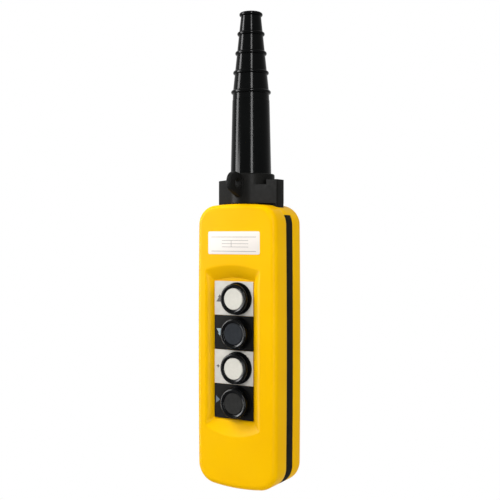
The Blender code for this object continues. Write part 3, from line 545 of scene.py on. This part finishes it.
def body_outline(inset=0.0, split=SEAL_END):
    """The housing seen from the front, its sides slightly bowed, drawn in by inset."""
    top = BODY_TOP - TOP_ARCH - inset
    bottom = BODY_BOTTOM + BOTTOM_ARCH + inset
    flat = column_outline(0.0, HALF_ENDS - inset, top, bottom, TOP_CORNER - inset, BOTTOM_CORNER - inset,
                          TOP_ARCH, BOTTOM_ARCH, split)
    middle = (BODY_TOP + BODY_BOTTOM) / 2.0
    half_h = (BODY_TOP - BODY_BOTTOM) / 2.0
    bowed = []
    for x, z in flat:
        share = (z - middle) / half_h
        swell = (HALF_MIDDLE - HALF_ENDS) * (1.0 - share * share) * (x / HALF_ENDS)
        bowed.append((x + swell, z))
    return bowed


def above_seal():
    """First and last index of the outline's points that lie above the seal's two ends."""
    first = CORNER_STEPS + SIDE_STEPS + CORNER_STEPS // 2 + 1
    right_count = first + CORNER_STEPS // 2 + 1
    last = 2 * (right_count - 1) + END_STEPS - first
    return first, last


def at_depth(outline, y):
    return [(x, y, z) for x, z in outline]


def seam_ring(inset, seam, raised, shift):
    """The outline at the seam, moved by shift; above the seal's ends it lies at the raised depth."""
    first, last = above_seal()
    ring = []
    for i, (x, z) in enumerate(body_outline(inset)):
        y = raised if first <= i <= last else seam
        ring.append((x, y + shift, z))
    return ring


def half_shell_rings(seam, face, edge, raised):
    """Outer rings of a housing half from the inner edge of its seam to the start of its flat face."""
    out = math.copysign(1.0, face - seam)
    rings = []
    for i in range(SEAM_STEPS + 1):
        angle = 0.5 * math.pi * i / SEAM_STEPS
        inset = SEAM_EDGE * (1.0 - math.sin(angle))
        rings.append(seam_ring(inset, seam, raised, out * SEAM_EDGE * (1.0 - math.cos(angle))))
    start = face - out * edge
    for share in SIDE_SHARES:
        rings.append(mixed(rings[SEAM_STEPS], at_depth(body_outline(), start), share))
    for i in range(EDGE_STEPS + 1):
        angle = 0.5 * math.pi * i / EDGE_STEPS
        inset = edge * (1.0 - math.cos(angle))
        rings.append(at_depth(body_outline(inset), start + out * edge * math.sin(angle)))
    return rings


def mixed(first, second, share):
    """A ring part of the way from one ring to another of the same count."""
    return [tuple(Vector(a).lerp(Vector(b), share)) for a, b in zip(first, second)]


def recess_floor(grow=0.0):
    top = PLATE_HIGH.z + LEDGE + grow
    bottom = LAST_PLATE_LOW.z - GAP - grow
    corner = FLOOR_CORNER + grow
    return column_outline(PLATE_CX, PLATE_HALF + GAP + grow, top, bottom, corner, corner, LEDGE_ARCH)


def recess_rim(grow=0.0):
    top = PLATE_HIGH.z + RIM_TOP_RUN + grow
    bottom = LAST_PLATE_LOW.z - RIM_BOTTOM_RUN - grow
    corner = RIM_CORNER + grow
    return column_outline(RIM_CX, RIM_HALF + grow, top, bottom, corner, corner, RIM_TOP_ARCH, RIM_BOTTOM_ARCH)


def scoop_rings():
    """The recess wall from rim to floor: round shoulders at the sides, flatter slopes at the ends."""
    floor = recess_floor()
    rim = recess_rim()
    low = LAST_PLATE_LOW.z
    high = PLATE_HIGH.z
    rings = []
    for i in range(SCOOP_STEPS + 1):
        angle = 0.5 * math.pi * (1.0 - i / SCOOP_STEPS)
        ring = []
        for (fx, fz), (rx, rz) in zip(floor, rim):
            past = max(0.0, rz - high, low - rz) / RIM_BOTTOM_RUN
            share = min(1.0, past)
            curve = SIDE_CURVE + (END_CURVE - SIDE_CURVE) * share * share * (3.0 - 2.0 * share)
            across = 1.0 - math.cos(angle) ** curve
            deep = 1.0 - math.sin(angle) ** curve
            y = FACE_Y + (FLOOR_Y - FACE_Y) * deep
            ring.append((fx + (rx - fx) * across, y, fz + (rz - fz) * across))
        rings.append(ring)
    return rings


def button_heights():
    heights = []
    for i in range(4):
        low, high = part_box("button_cap_%d" % (i + 1))
        heights.append((low.z + high.z) / 2.0)
    return heights


def front_shell(finish):
    """Front housing half: rounded outside, scooped recess and an inner skin one wall away."""
    outside = half_shell_rings(SEAM_FRONT, FACE_Y, FRONT_EDGE, SEAM_FRONT)
    scoop = scoop_rings()
    face = [mixed(outside[-1], scoop[0], share) for share in FACE_SHARES]
    inner_face = FACE_Y + WALL
    inside = [
        at_depth(recess_floor(WALL), FLOOR_Y + WALL),
        at_depth(recess_rim(), inner_face + WALL),
        at_depth(recess_rim(WALL), inner_face),
        at_depth(body_outline(WALL + FRONT_EDGE / 2.0), inner_face),
        at_depth(body_outline(WALL), inner_face + FRONT_EDGE / 2.0),
        at_depth(body_outline(WALL), SEAM_FRONT),
    ]
    rings = inside + outside + face + scoop
    skin = loft("front_housing", rings)
    hole = prism("panel_hole", circle(PANEL_HOLE_R), -WALL * 2.0, WALL)
    holes = copies("panel_holes", (hole, [(0.0, FLOOR_Y, z) for z in button_heights()], TO_FRONT))
    neck = prism("neck_way", circle(NECK_R + GAP), BODY_TOP - WALL * 2.0, BODY_TOP + WALL)
    skin = carved("front_housing", skin, [
        ("DIFFERENCE", neck, HOME, HOME),
        ("DIFFERENCE", holes, HOME, HOME),
    ])
    place("front_housing", skin, finish, "housing", nodes=["front_shell"])


def screw_places():
    places = []
    for i in range(6):
        low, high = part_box("shell_screw_%d" % (i + 1))
        places.append(((low.x + high.x) / 2.0, high.y, (low.z + high.z) / 2.0))
    return places


def rear_shell(finish):
    """Rear housing half with its sunk screw holes; it comes forward between the seal and the collar."""
    raised = SEAM_FRONT + GAP - SEAM_CLOSE
    outside = half_shell_rings(SEAM_REAR, BACK_Y, REAR_EDGE, raised)
    inner_face = BACK_Y - WALL
    inside = [
        at_depth(body_outline(WALL + REAR_EDGE), inner_face),
        at_depth(body_outline(WALL + REAR_EDGE / 4.0), inner_face - REAR_EDGE / 4.0),
        at_depth(body_outline(WALL), inner_face - REAR_EDGE),
        seam_ring(WALL, SEAM_REAR, raised, 0.0),
    ]
    middle = [at_depth(body_outline(REAR_EDGE + inset), BACK_Y) for inset in BACK_INSETS]
    skin = loft("rear_housing", inside + outside + middle)
    neck = prism("neck_way", circle(NECK_R + GAP), BODY_TOP - WALL * 2.0, BODY_TOP + WALL)
    half = WING_HALF + GAP
    gate = rounded_rect(-half, half, WING_FRONT - GAP, WING_REAR + GAP, WING_CORNER)
    wing = prism("wing_way", gate, BODY_TOP - WALL * 3.0, BODY_TOP + WALL)
    sleeve = turned("screw_sleeve", [
        (0.0, -WALL / 2.0),
        (SLEEVE_R, -WALL / 2.0),
        (SLEEVE_R, -SLEEVE_END),
        (0.0, -SLEEVE_END),
    ], SMALL_STEPS)
    well = turned("screw_well", [
        (0.0, WALL),
        (WELL_MOUTH_R, WALL),
        (WELL_MOUTH_R, WELL_MOUTH_TOP),
        (WELL_R, -WELL_MOUTH_END),
        (WELL_R, -WELL_END),
        (SCREW_WAY_R, -WELL_END),
        (SCREW_WAY_R, -SCREW_WAY_END),
        (0.0, -SCREW_WAY_END),
    ], SMALL_STEPS)
    mouths = [(x, BACK_Y, z) for x, _, z in screw_places()]
    skin = carved("rear_housing", skin, [
        ("UNION", copies("sleeves", (sleeve, mouths, TO_REAR)), HOME, HOME),
        ("DIFFERENCE", neck, HOME, HOME),
        ("DIFFERENCE", wing, HOME, HOME),
        ("DIFFERENCE", copies("wells", (well, mouths, TO_REAR)), HOME, HOME),
    ])
    place("rear_housing", skin, finish, "housing", nodes=["rear_shell"])


def seal_lines(shrink):
    """Long lines of the band, SEAM_CLOSE wider than its node on each side, drawn in all round by shrink."""
    split = SEAL_END - math.degrees(SEAL_EDGE / TOP_CORNER)
    front = []
    rear = []
    for i in range(SEAL_STEPS + 1):
        angle = 0.5 * math.pi * i / SEAL_STEPS
        outline = body_outline(shrink + SEAL_EDGE * (1.0 - math.sin(angle)), split)
        deep = shrink + SEAL_EDGE * (1.0 - math.cos(angle))
        front.append(at_depth(outline, SEAL_LOW.y - SEAM_CLOSE + deep))
        rear.append(at_depth(outline, SEAL_HIGH.y + SEAM_CLOSE - deep))
    inner = body_outline(SEAL_W - shrink, split)
    lines = front + list(reversed(rear))
    near = SEAL_LOW.y - SEAM_CLOSE + shrink
    far = SEAL_HIGH.y + SEAM_CLOSE - shrink
    return lines + [at_depth(inner, far), at_depth(inner, near)]


def shell_seal(finish):
    """Rubber band between the halves, from one rounded end round the bottom to the other."""
    lines = seal_lines(0.0)
    first, last = above_seal()
    count = len(lines[0])
    path = [i % count for i in range(last + 1, count + first)]
    sections = [[line[i] for line in lines] for i in path]
    tips = {-1.0: [], 1.0: []}
    along = math.radians(SEAL_END)
    for side, i in ((-1.0, path[0]), (1.0, path[-1])):
        for k in range(1, SEAL_STEPS + 1):
            angle = 0.5 * math.pi * k / SEAL_STEPS
            shrunk = seal_lines(SEAL_EDGE * (1.0 - math.cos(angle)))
            step = Vector((-side * math.sin(along), 0.0, math.cos(along))) * SEAL_EDGE * math.sin(angle)
            tips[side].append([tuple(Vector(line[i]) + step) for line in shrunk])
    rings = list(reversed(tips[-1.0])) + sections + tips[1.0]
    band = loft("seal_band", rings)
    place("seal_band", band, finish, "housing", nodes=["shell_seal"])


def taut_line(edge_y):
    """Line from the collar's barrel to a corner of its block: its angle in degrees and its two ends."""
    radius = RING_R + RING_STEP
    cx = WING_HALF - WING_CORNER
    cy = abs(edge_y) - WING_CORNER
    lean = math.acos((radius - WING_CORNER) / math.hypot(cx, cy)) + math.atan2(cy, cx)
    out = Vector((math.cos(lean), math.sin(lean)))
    return math.degrees(lean), out * radius, Vector((cx, cy)) + out * WING_CORNER


def block_outline():
    """Plan of the collar's block: the barrel and the two wings under one taut line."""
    points = []
    for quarter, (sx, sy) in enumerate(((1, -1), (1, 1), (-1, 1), (-1, -1))):
        edge_y = WING_FRONT if sy < 0 else WING_REAR
        lean, _, _ = taut_line(edge_y)
        run = arc(0.0, 0.0, RING_R + RING_STEP, 90.0, lean, BARREL_STEPS)
        corner_x = WING_HALF - WING_CORNER
        run += arc(corner_x, abs(edge_y) - WING_CORNER, WING_CORNER, lean, 0.0, WING_STEPS)
        run = [(sx * x, sy * y) for x, y in run]
        if quarter % 2 == 1:
            run.reverse()
        points += run
    kept = []
    for point in points:
        if not kept or (Vector(point) - Vector(kept[-1])).length > SAME_POINT:
            kept.append(point)
    if (Vector(kept[0]) - Vector(kept[-1])).length < SAME_POINT:
        kept.pop()
    return kept


def ring_clearance():
    """What is cut from the top of the block so that only its two ends stand up as ears."""
    outline = []
    for side, start in ((1.0, RIGHT_EAR_X), (-1.0, LEFT_EAR_X)):
        run = []
        for turn, edge_y in ((-1.0, WING_FRONT), (1.0, WING_REAR)):
            _, near, far = taut_line(edge_y)
            y = near.y + (far.y - near.y) * (start - near.x) / (far.x - near.x)
            line = [(start, turn * WING_HALF), (start, turn * y), (start - EAR_ROOT_IN, turn * EAR_ROOT_Y)]
            run += line if turn < 0.0 else list(reversed(line))
        outline += [(x, y) for x, y in run] if side > 0.0 else [(-x, y) for x, y in reversed(run)]
    return prism("ring_clearance", outline, RING_BOTTOM, EAR_TOP + WALL)


def lug_outline():
    """The lug as (y, z): a round head ahead of the collar with a tail down to it."""
    root = -(RING_R - WALL / 2.0)
    points = [(root, COLLAR_TOP - LUG_RISE)]
    head_z = COLLAR_TOP + LUG_RISE - LUG_HEAD_R
    points += arc(-LUG_REACH, head_z, LUG_HEAD_R, 90.0, LUG_WRAP, LUG_STEPS)
    points.append((root, COLLAR_TOP - LUG_TAIL))
    return points


def lug_eye():
    """Cutter of the lug's eye, wider at both faces."""
    wide = LUG_EYE_R + LUG_EYE_BEVEL + LUG_T / 2.0
    face = LUG_T / 2.0
    return turned("lug_eye", [
        (0.0, -LUG_T),
        (wide, -LUG_T),
        (LUG_EYE_R, LUG_EYE_BEVEL - face),
        (LUG_EYE_R, face - LUG_EYE_BEVEL),
        (wide, LUG_T),
        (0.0, LUG_T),
    ], SMALL_STEPS)


def cable_collar(finish):
    """Collar moulding: ring, block with wings and ears, neck, and the lug with its eye."""
    profile = [
        (0.0, BODY_TOP - WALL * 2.0),
        (NECK_R, BODY_TOP - WALL * 2.0),
        (NECK_R, RING_BOTTOM - RING_SKIRT),
        (RING_R, RING_BOTTOM - RING_SKIRT),
    ]
    profile += arc(RING_R - RING_EDGE, COLLAR_TOP - RING_EDGE, RING_EDGE, 0.0, 90.0, WING_STEPS)
    profile.append((0.0, COLLAR_TOP))
    half = WING_HALF - SET_IN
    wing = rounded_rect(-half, half, WING_FRONT + SET_IN, WING_REAR - SET_IN, WING_CORNER)
    block = soft_prism("collar_block", block_outline(), BODY_TOP + GAP, EAR_TOP, BLOCK_EDGE)
    lug = soft_prism("collar_lug", lug_outline(), -LUG_T / 2.0, LUG_T / 2.0, LUG_EDGE)
    eye_at = (0.0, LUG_EYE_BACK - LUG_REACH, COLLAR_TOP - LUG_EYE_DROP)
    seat_low = BOOT_LOW.z - GAP
    seat = prism("boot_seat", circle(BOOT_FOOT_R + GAP, TURN_STEPS), seat_low, COLLAR_TOP + WALL)
    bore = prism("cable_bore", circle(CABLE_BORE_R, TURN_STEPS), COLLAR_LOW.z - WALL, COLLAR_TOP)
    body = carved("collar_moulding", block, [
        ("DIFFERENCE", ring_clearance(), HOME, HOME),
        ("UNION", turned("collar_ring", profile), HOME, HOME),
        ("UNION", prism("collar_wing", wing, COLLAR_LOW.z, WING_TOP), HOME, HOME),
        ("UNION", lug, HOME, LUG_TURN),
        ("DIFFERENCE", lug_eye(), eye_at, EYE_TURN),
        ("DIFFERENCE", seat, HOME, HOME),
        ("DIFFERENCE", bore, HOME, HOME),
    ])
    place("collar_moulding", body, finish, "housing", nodes=["cable_collar"])


def rib_height(i):
    return -RIB_T / 2.0 - i * RIB_PITCH


def boot_radius(z):
    """Outer radius of the boot between its ribs: a cone down to the last rib, then a slower one."""
    knee = rib_height(RIBS - 1)
    if z >= knee:
        return BOOT_TOP_R + (BOOT_KNEE_R - BOOT_TOP_R) * z / knee
    share = (z - knee) / (COLLAR_TOP - knee)
    return BOOT_KNEE_R + (BOOT_FOOT_R - BOOT_KNEE_R) * min(share, 1.0)


def cable_boot(finish):
    """Rubber boot: round ribs on a cone, a plain skirt below a small step, and its foot in the collar."""
    profile = [(BOOT_HOLE_R, 0.0)]
    for i in range(RIBS):
        middle = rib_height(i)
        half = RIB_T / 2.0
        crown = boot_radius(middle) + RIB_STAND
        for z, radius in arc(middle, crown - half, half, 0.0, 180.0, RIB_STEPS):
            if radius > boot_radius(z) + RIB_CLEAR:
                profile.append((radius, z))
        below = rib_height(i + 1) + half if i < RIBS - 1 else middle - BOOT_STEP_BELOW_RIB
        for k in range(CONE_STEPS + 1):
            z = middle - half + (below - middle + half) * k / CONE_STEPS
            profile.append((boot_radius(z), z))
    step_z = rib_height(RIBS - 1) - BOOT_STEP_BELOW_RIB - BOOT_STEP
    for k in range(SKIRT_STEPS + 1):
        z = step_z + (COLLAR_TOP - step_z) * k / SKIRT_STEPS
        fade = BOOT_STEP * (1.0 - k / SKIRT_STEPS)
        profile.append((boot_radius(z) + fade, z))
    foot = BOOT_LOW.z
    profile += [
        (BOOT_FOOT_R, foot),
        (BOOT_FOOT_R - BOOT_WALL, foot),
        (BOOT_FOOT_R - BOOT_WALL, COLLAR_TOP),
        (BOOT_KNEE_R - BOOT_WALL, rib_height(RIBS - 1)),
        (BOOT_HOLE_R, -RIB_PITCH),
    ]
    boot = turned("rubber_boot", profile, sharp=SHARP_TURNED)
    place("rubber_boot", boot, finish, "housing", nodes=["cable_boot"])


def symbol(name, points, finish, z):
    """A flat printed mark on a legend plate, a hair proud of it."""
    outline = [(x * MM, y * MM) for x, y in points]
    mark = prism(name, outline, 0.0, MARK_T)
    place(name, mark, finish, "housing", (0.0, PLATE_Y - MARK_LIFT, z), TO_FRONT)


def legend_plates(white, black):
    """Printed sheets of the legend plates, white and black in turn."""
    kinds = ((white, "plate_white"), (black, "plate_black"))
    for i, z in enumerate(button_heights()):
        node = "legend_plate_%d" % (i + 1)
        low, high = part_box(node)
        outline = rounded_rect(low.x, high.x, low.z - z, high.z - z, PLATE_CORNER)
        sheet = soft_prism(node + "_sheet", outline, -PLATE_T, 0.0, PLATE_EDGE)
        hole = prism("plate_hole", circle(PANEL_HOLE_R, TURN_STEPS), -WALL, WALL)
        sheet = carved(node + "_sheet", sheet, [("DIFFERENCE", hole, HOME, HOME)])
        finish, slot = kinds[i % 2]
        at = (0.0, PLATE_Y, z)
        place(node + "_sheet", sheet, finish, "housing", at, TO_FRONT, nodes=[node])


def legend_symbols(inks):
    """Marks left of the buttons: double arrows up and down, a four-pointed star and a side arrow."""
    double = [(0.0, 3.2), (-1.9, 0.7), (-0.75, 0.7), (-3.5, -3.3), (3.5, -3.3), (0.75, 0.7), (1.9, 0.7)]
    star = [(0.0, 1.9), (-0.6, 0.55), (-2.1, 0.0), (-0.6, -0.55)]
    star += [(-x, -z) for x, z in star]
    marks = (
        ("mark_up", [(x - 18.6, z) for x, z in double]),
        ("mark_down", [(x - 18.6, -z) for x, z in reversed(double)]),
        ("mark_star", [(x - 20.2, z + 0.2) for x, z in star]),
        ("mark_side", [(-22.5, 4.3), (-22.5, -2.3), (-18.3, 0.8)]),
    )
    for (name, points), (finish, slot), z in zip(marks, inks, button_heights()):
        symbol(name, points, finish, z)


def bezel_profile():
    """Guard ring: hollowed crown with two lips, ribbed side and thin base."""
    crown = BEZEL_LOW.y - PLATE_Y
    top = -crown
    outer = (BEZEL_HIGH.x - BEZEL_LOW.x) / 2.0 - GUARD_FLANGE
    base = outer + GUARD_FLANGE
    bore = (CAP_HIGH.x - CAP_LOW.x) / 2.0 + GAP
    barrel = PANEL_HOLE_R - GAP
    waist_top, waist_high, waist_low, waist_end = GUARD_WAIST_HEIGHTS
    crown_r = GUARD_CROWN_R
    profile = [(bore, -GUARD_BORE_LINE)]
    profile += arc(bore + GUARD_LIP_R, top - GUARD_LIP_DROP, GUARD_LIP_R, 180.0, 90.0, LIP_STEPS)
    profile += arc(outer - crown_r, top - crown_r, crown_r, GUARD_CROWN_START, 0.0, CROWN_STEPS)
    profile += [
        (outer, waist_top),
        (outer - GUARD_WAIST, waist_high),
        (outer - GUARD_WAIST, waist_low),
        (outer, waist_end),
        (base - GUARD_BASE_EDGE, waist_end),
        (base, GUARD_BASE_T),
        (base, GAP),
        (barrel, GAP),
        (barrel, -GUARD_BARREL_END),
        (barrel - GUARD_BARREL_WALL, -GUARD_BARREL_END),
        (barrel - GUARD_BARREL_WALL, -GUARD_FLOOR_END),
        (PLUNGER_WAY_R, -GUARD_FLOOR_END),
        (PLUNGER_WAY_R, -GUARD_FLOOR_TOP),
        (bore, -GUARD_FLOOR_TOP),
    ]
    return profile


def cap_profile():
    """Flat cap with a rounded edge and a shallow dish."""
    top = -(CAP_LOW.y - PLATE_Y)
    radius = (CAP_HIGH.x - CAP_LOW.x) / 2.0
    profile = [(radius * share, top - depth) for share, depth in CAP_DISH]
    profile += arc(radius - CAP_EDGE, top - CAP_EDGE, CAP_EDGE, 90.0, 0.0, LIP_STEPS)
    profile += [
        (radius, top - CAP_SKIRT),
        (radius - CAP_WALL, top - CAP_SKIRT),
        (radius - CAP_WALL, top - CAP_WALL),
        (0.0, top - CAP_WALL),
    ]
    return profile


def push_buttons(bezel_finish, cap_finishes):
    """A guard ring on the housing and a cap on its own body for each button."""
    bezel = turned("guard_ring", bezel_profile(), sharp=SHARP_TURNED)
    for i, z in enumerate(button_heights()):
        number = i + 1
        at = (0.0, PLATE_Y, z)
        ring = bezel.copy()
        place("guard_ring_%d" % number, ring, bezel_finish, "housing", at, TO_FRONT,
              nodes=["button_bezel_%d" % number])
        finish, slot = cap_finishes[i]
        cap = turned("cap_%d" % number, cap_profile())
        place("push_cap_%d" % number, cap, finish, "button_%d" % number, at, TO_FRONT,
              nodes=["button_cap_%d" % number])


def return_springs(finish):
    """Springs at their pressed length in every pose, so that none shows through a pressed cap.

    They are shorter than the frame's own, and at rest they stop short of their caps.
    """
    for i in range(4):
        node = "return_spring_%d" % (i + 1)
        low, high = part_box(node)
        coil = frame["nodes"][node].data.copy()
        share = 1.0 - (TRAVEL + GAP) / (high.y - low.y)
        for vertex in coil.vertices:
            vertex.co.y = high.y + (vertex.co.y - high.y) * share
        place("pressed_coil_%d" % (i + 1), coil, finish, "housing", nodes=[node])


def label_field(paper, ink):
    """Bare label with blank ruled lines."""
    outline = rounded_rect(LABEL_X[0], LABEL_X[1], LABEL_Z[0], LABEL_Z[1], LABEL_CORNER)
    sheet = soft_prism("label_sheet", outline, -LABEL_SUNK, LABEL_T, LABEL_EDGE, 2)
    place("label_sheet", sheet, paper, "housing", (0.0, FACE_Y, 0.0), TO_FRONT)
    rules = []
    for x0, x1, drop, thick in LABEL_RULES:
        high = LABEL_Z[1] - drop * MM
        low = high - thick * MM
        corners = [(x0 * MM, low), (x1 * MM, low), (x1 * MM, high), (x0 * MM, high)]
        rules.append((prism("rule", corners, 0.0, RULE_T), [(0.0, FACE_Y - LABEL_T, 0.0)], TO_FRONT))
    place("label_rules", copies("label_rules", *rules), ink, "housing")


def rear_screws(finish):
    """Screw heads in the rear shell's wells, each with a hexagon socket."""
    edge = SCREW_HEAD_EDGE
    profile = [(0.0, -SCREW_HEAD_T), (SCREW_HEAD_R, -SCREW_HEAD_T)]
    profile += arc(SCREW_HEAD_R - edge, -edge, edge, 0.0, 90.0, HEAD_STEPS)
    profile += [(0.0, 0.0)]
    socket = prism("hex_socket", circle(SOCKET_R, 6), -SOCKET_DEPTH, SOCKET_ABOVE)
    blank = turned("screw_head", profile, SMALL_STEPS)
    head = carved("screw_head", blank, [("DIFFERENCE", socket, HOME, HOME)])
    for i, at in enumerate(screw_places()):
        place("screw_head_%d" % (i + 1), head.copy(), finish, "housing", at, TO_REAR,
              nodes=["shell_screw_%d" % (i + 1)])


def dress_frame(finishes):
    """Give every node of the frame that stays visible a finish of its own."""
    slots = {s["node"]: s["material_slot"] for s in frame["record"]["subparts"]}
    for node, obj in frame["nodes"].items():
        obj.data.materials.clear()
        obj.data.materials.append(finishes[slots[node]])


def camera():
    made = bpy.data.objects.new("photo_camera", bpy.data.cameras.new("photo_camera"))
    back = Vector((math.sin(VIEW_TURN), -math.cos(VIEW_TURN), 0.0))
    side = Vector((math.cos(VIEW_TURN), math.sin(VIEW_TURN), 0.0))
    made.location = back * VIEW_DISTANCE + side * VIEW_SIDESTEP + UP * VIEW_HEIGHT
    made.rotation_euler = (math.pi / 2.0, 0.0, VIEW_TURN)
    made.data.lens = LENS
    made.data.sensor_width = SENSOR
    made.data.shift_y = SHIFT_UP
    bpy.context.scene.collection.objects.link(made)
    bpy.context.scene.camera = made


def softbox(name, azimuth, height, distance, size, watts, gloss=False):
    """Area lamp aimed at the housing, azimuth degrees to the right of its front; gloss lamps only shine."""
    target = Vector((0.0, 0.0, (BODY_TOP + BODY_BOTTOM) / 2.0))
    angle = math.radians(azimuth)
    data = bpy.data.lights.new(name, "AREA")
    data.shape = "RECTANGLE"
    data.size = size[0]
    data.size_y = size[1]
    data.energy = watts
    lamp = bpy.data.objects.new(name, data)
    lamp.location = target + Vector((math.sin(angle), -math.cos(angle), 0.0)) * distance + UP * height
    lamp.rotation_euler = (target - lamp.location).to_track_quat("-Z", "Y").to_euler()
    lamp.visible_camera = False
    lamp.visible_diffuse = not gloss
    lamp.visible_glossy = gloss
    bpy.context.scene.collection.objects.link(lamp)


def lights():
    """Soft light from near the camera, both sides and above; gloss lamps for the lines on black."""
    softbox("near_light", 8.0, 0.75, 1.25, (0.6, 0.6), 7.6)
    softbox("right_light", 82.0, 0.3, 1.0, (0.5, 0.5), 2.6)
    softbox("left_light", -75.0, 0.7, 0.85, (0.5, 0.5), 5.4)
    softbox("top_light", -45.0, 0.75, 0.5, (0.5, 0.5), 3.6)
    softbox("gloss_left", -59.3, 0.2, 1.0, (0.27, 1.4), 46.0, True)
    softbox("gloss_near", 35.0, 0.25, 1.4, (0.22, 1.4), 58.0, True)
    softbox("gloss_face", -44.0, 0.14, 1.0, (0.25, 0.3), 9.0, True)


def world():
    """White for the camera and for reflections, a softer even level for everything else."""
    made = bpy.data.worlds.new("studio")
    bpy.context.scene.world = made
    made.use_nodes = True
    tree = made.node_tree
    background = tree.nodes["Background"]
    path = add_node(tree, "ShaderNodeLightPath")
    seen = add_node(tree, "ShaderNodeMath", operation="MAXIMUM")
    tree.links.new(path.outputs["Is Camera Ray"], seen.inputs[0])
    tree.links.new(path.outputs["Is Glossy Ray"], seen.inputs[1])
    clear = add_node(tree, "ShaderNodeMath", operation="MAXIMUM")
    tree.links.new(seen.outputs["Value"], clear.inputs[0])
    tree.links.new(path.outputs["Is Transmission Ray"], clear.inputs[1])
    level = add_node(tree, "ShaderNodeMapRange")
    level.inputs["To Min"].default_value = WORLD_LEVEL
    level.inputs["To Max"].default_value = 1.0
    tree.links.new(clear.outputs["Value"], level.inputs["Value"])
    background.inputs["Color"].default_value = (1.0, 1.0, 1.0, 1.0)
    tree.links.new(level.outputs["Result"], background.inputs["Strength"])


def floor():
    """Pale studio floor well below the hanging station."""
    slab = prism("studio_floor", circle(STAGE_R, STAGE_STEPS), -STAGE_T, 0.0)
    obj = bpy.data.objects.new("studio_floor", slab)
    obj.location = (0.0, 0.0, BODY_BOTTOM - STAGE_DROP)
    bpy.context.scene.collection.objects.link(obj)
    paint = plastic("floor_paint", (226, 226, 226), (232, 232, 232), 0.8, 0.1, 40.0, 0.0001, 3.0)
    slab.materials.append(paint)


def finishes():
    """Every finish of the part, by the record's slot.

    A row holds the slot, two display colours, roughness, specular level, the grain's scale and depth in
    metres, and where they differ from the usual ones the scale of the clouding and the metallic share.
    """
    rows = (
        ("housing_yellow", (243, 184, 0), (246, 190, 0), 0.32, 0.016, 900.0, 0.00003, 22.0),
        ("seal_rubber", (21, 20, 17), (27, 26, 22), 0.6, 0.02, 1500.0, 0.00004, 120.0),
        ("collar_plastic", (22, 22, 21), (26, 26, 25), 0.36, 0.016, 1200.0, 0.00003, 90.0),
        ("boot_rubber", (4, 5, 5), (7, 8, 8), 0.13, 0.04, 300.0, 0.000004, 60.0),
        ("plate_white", (204, 201, 194), (216, 213, 206), 0.45, 0.02, 1400.0, 0.00002, 150.0),
        ("plate_black", (22, 22, 21), (29, 29, 28), 0.4, 0.012, 1400.0, 0.00002, 150.0),
        ("bezel_black", (3, 4, 5), (7, 8, 9), 0.15, 0.07, 400.0, 0.000002, 120.0),
        ("cap_white", (207, 204, 194), (215, 212, 202), 0.42, 0.03, 2500.0, 0.00002, 300.0),
        ("cap_slate", (37, 40, 44), (45, 48, 52), 0.42, 0.015, 2500.0, 0.00002, 300.0),
        ("cap_dark", (38, 38, 37), (46, 46, 45), 0.5, 0.015, 2500.0, 0.00003, 300.0),
        ("plunger_nylon", (204, 198, 182), (216, 210, 196), 0.5, 0.3, 1200.0, 0.00003),
        ("contact_grey", (112, 114, 116), (126, 128, 130), 0.5, 0.3, 1200.0, 0.00003),
        ("zinc_steel", (160, 162, 164), (188, 190, 192), 0.32, 0.5, 1600.0, 0.00002, 200.0, 1.0),
    )
    return {row[0]: plastic(*row) for row in rows}


bpy.context.scene.view_settings.view_transform = "Standard"
camera()
world()
lights()
floor()
looks = finishes()
dark_ink = plastic("dark_ink", (26, 25, 24), (40, 38, 36), 0.5, 0.15, 1500.0, 0.00002)
grey_ink = plastic("grey_ink", (66, 62, 60), (76, 72, 70), 0.5, 0.15, 1500.0, 0.00002)
pale_ink = plastic("pale_ink", (128, 150, 160), (146, 166, 176), 0.5, 0.15, 1500.0, 0.00002)
blue_ink = plastic("blue_ink", (72, 88, 104), (84, 100, 114), 0.5, 0.15, 1500.0, 0.00002)
label_paper = plastic("label_paper", (232, 225, 218), (238, 231, 224), 0.4, 0.03, 900.0, 0.00002, 40.0)
rule_ink = plastic("rule_ink", (92, 88, 86), (104, 100, 98), 0.5, 0.03, 900.0, 0.00002)
dress_frame(looks)
front_shell(looks["housing_yellow"])
rear_shell(looks["housing_yellow"])
shell_seal(looks["seal_rubber"])
cable_collar(looks["collar_plastic"])
cable_boot(looks["boot_rubber"])
legend_plates(looks["plate_white"], looks["plate_black"])
legend_symbols([
    (grey_ink, "plate_black"),
    (pale_ink, "plate_white"),
    (dark_ink, "plate_black"),
    (blue_ink, "plate_white"),
])
push_buttons(looks["bezel_black"], [
    (looks["cap_white"], "cap_white"),
    (looks["cap_slate"], "cap_slate"),
    (looks["cap_white"], "cap_white"),
    (looks["cap_dark"], "cap_dark"),
])
return_springs(looks["zinc_steel"])
label_field(label_paper, rule_ink)
rear_screws(looks["zinc_steel"])
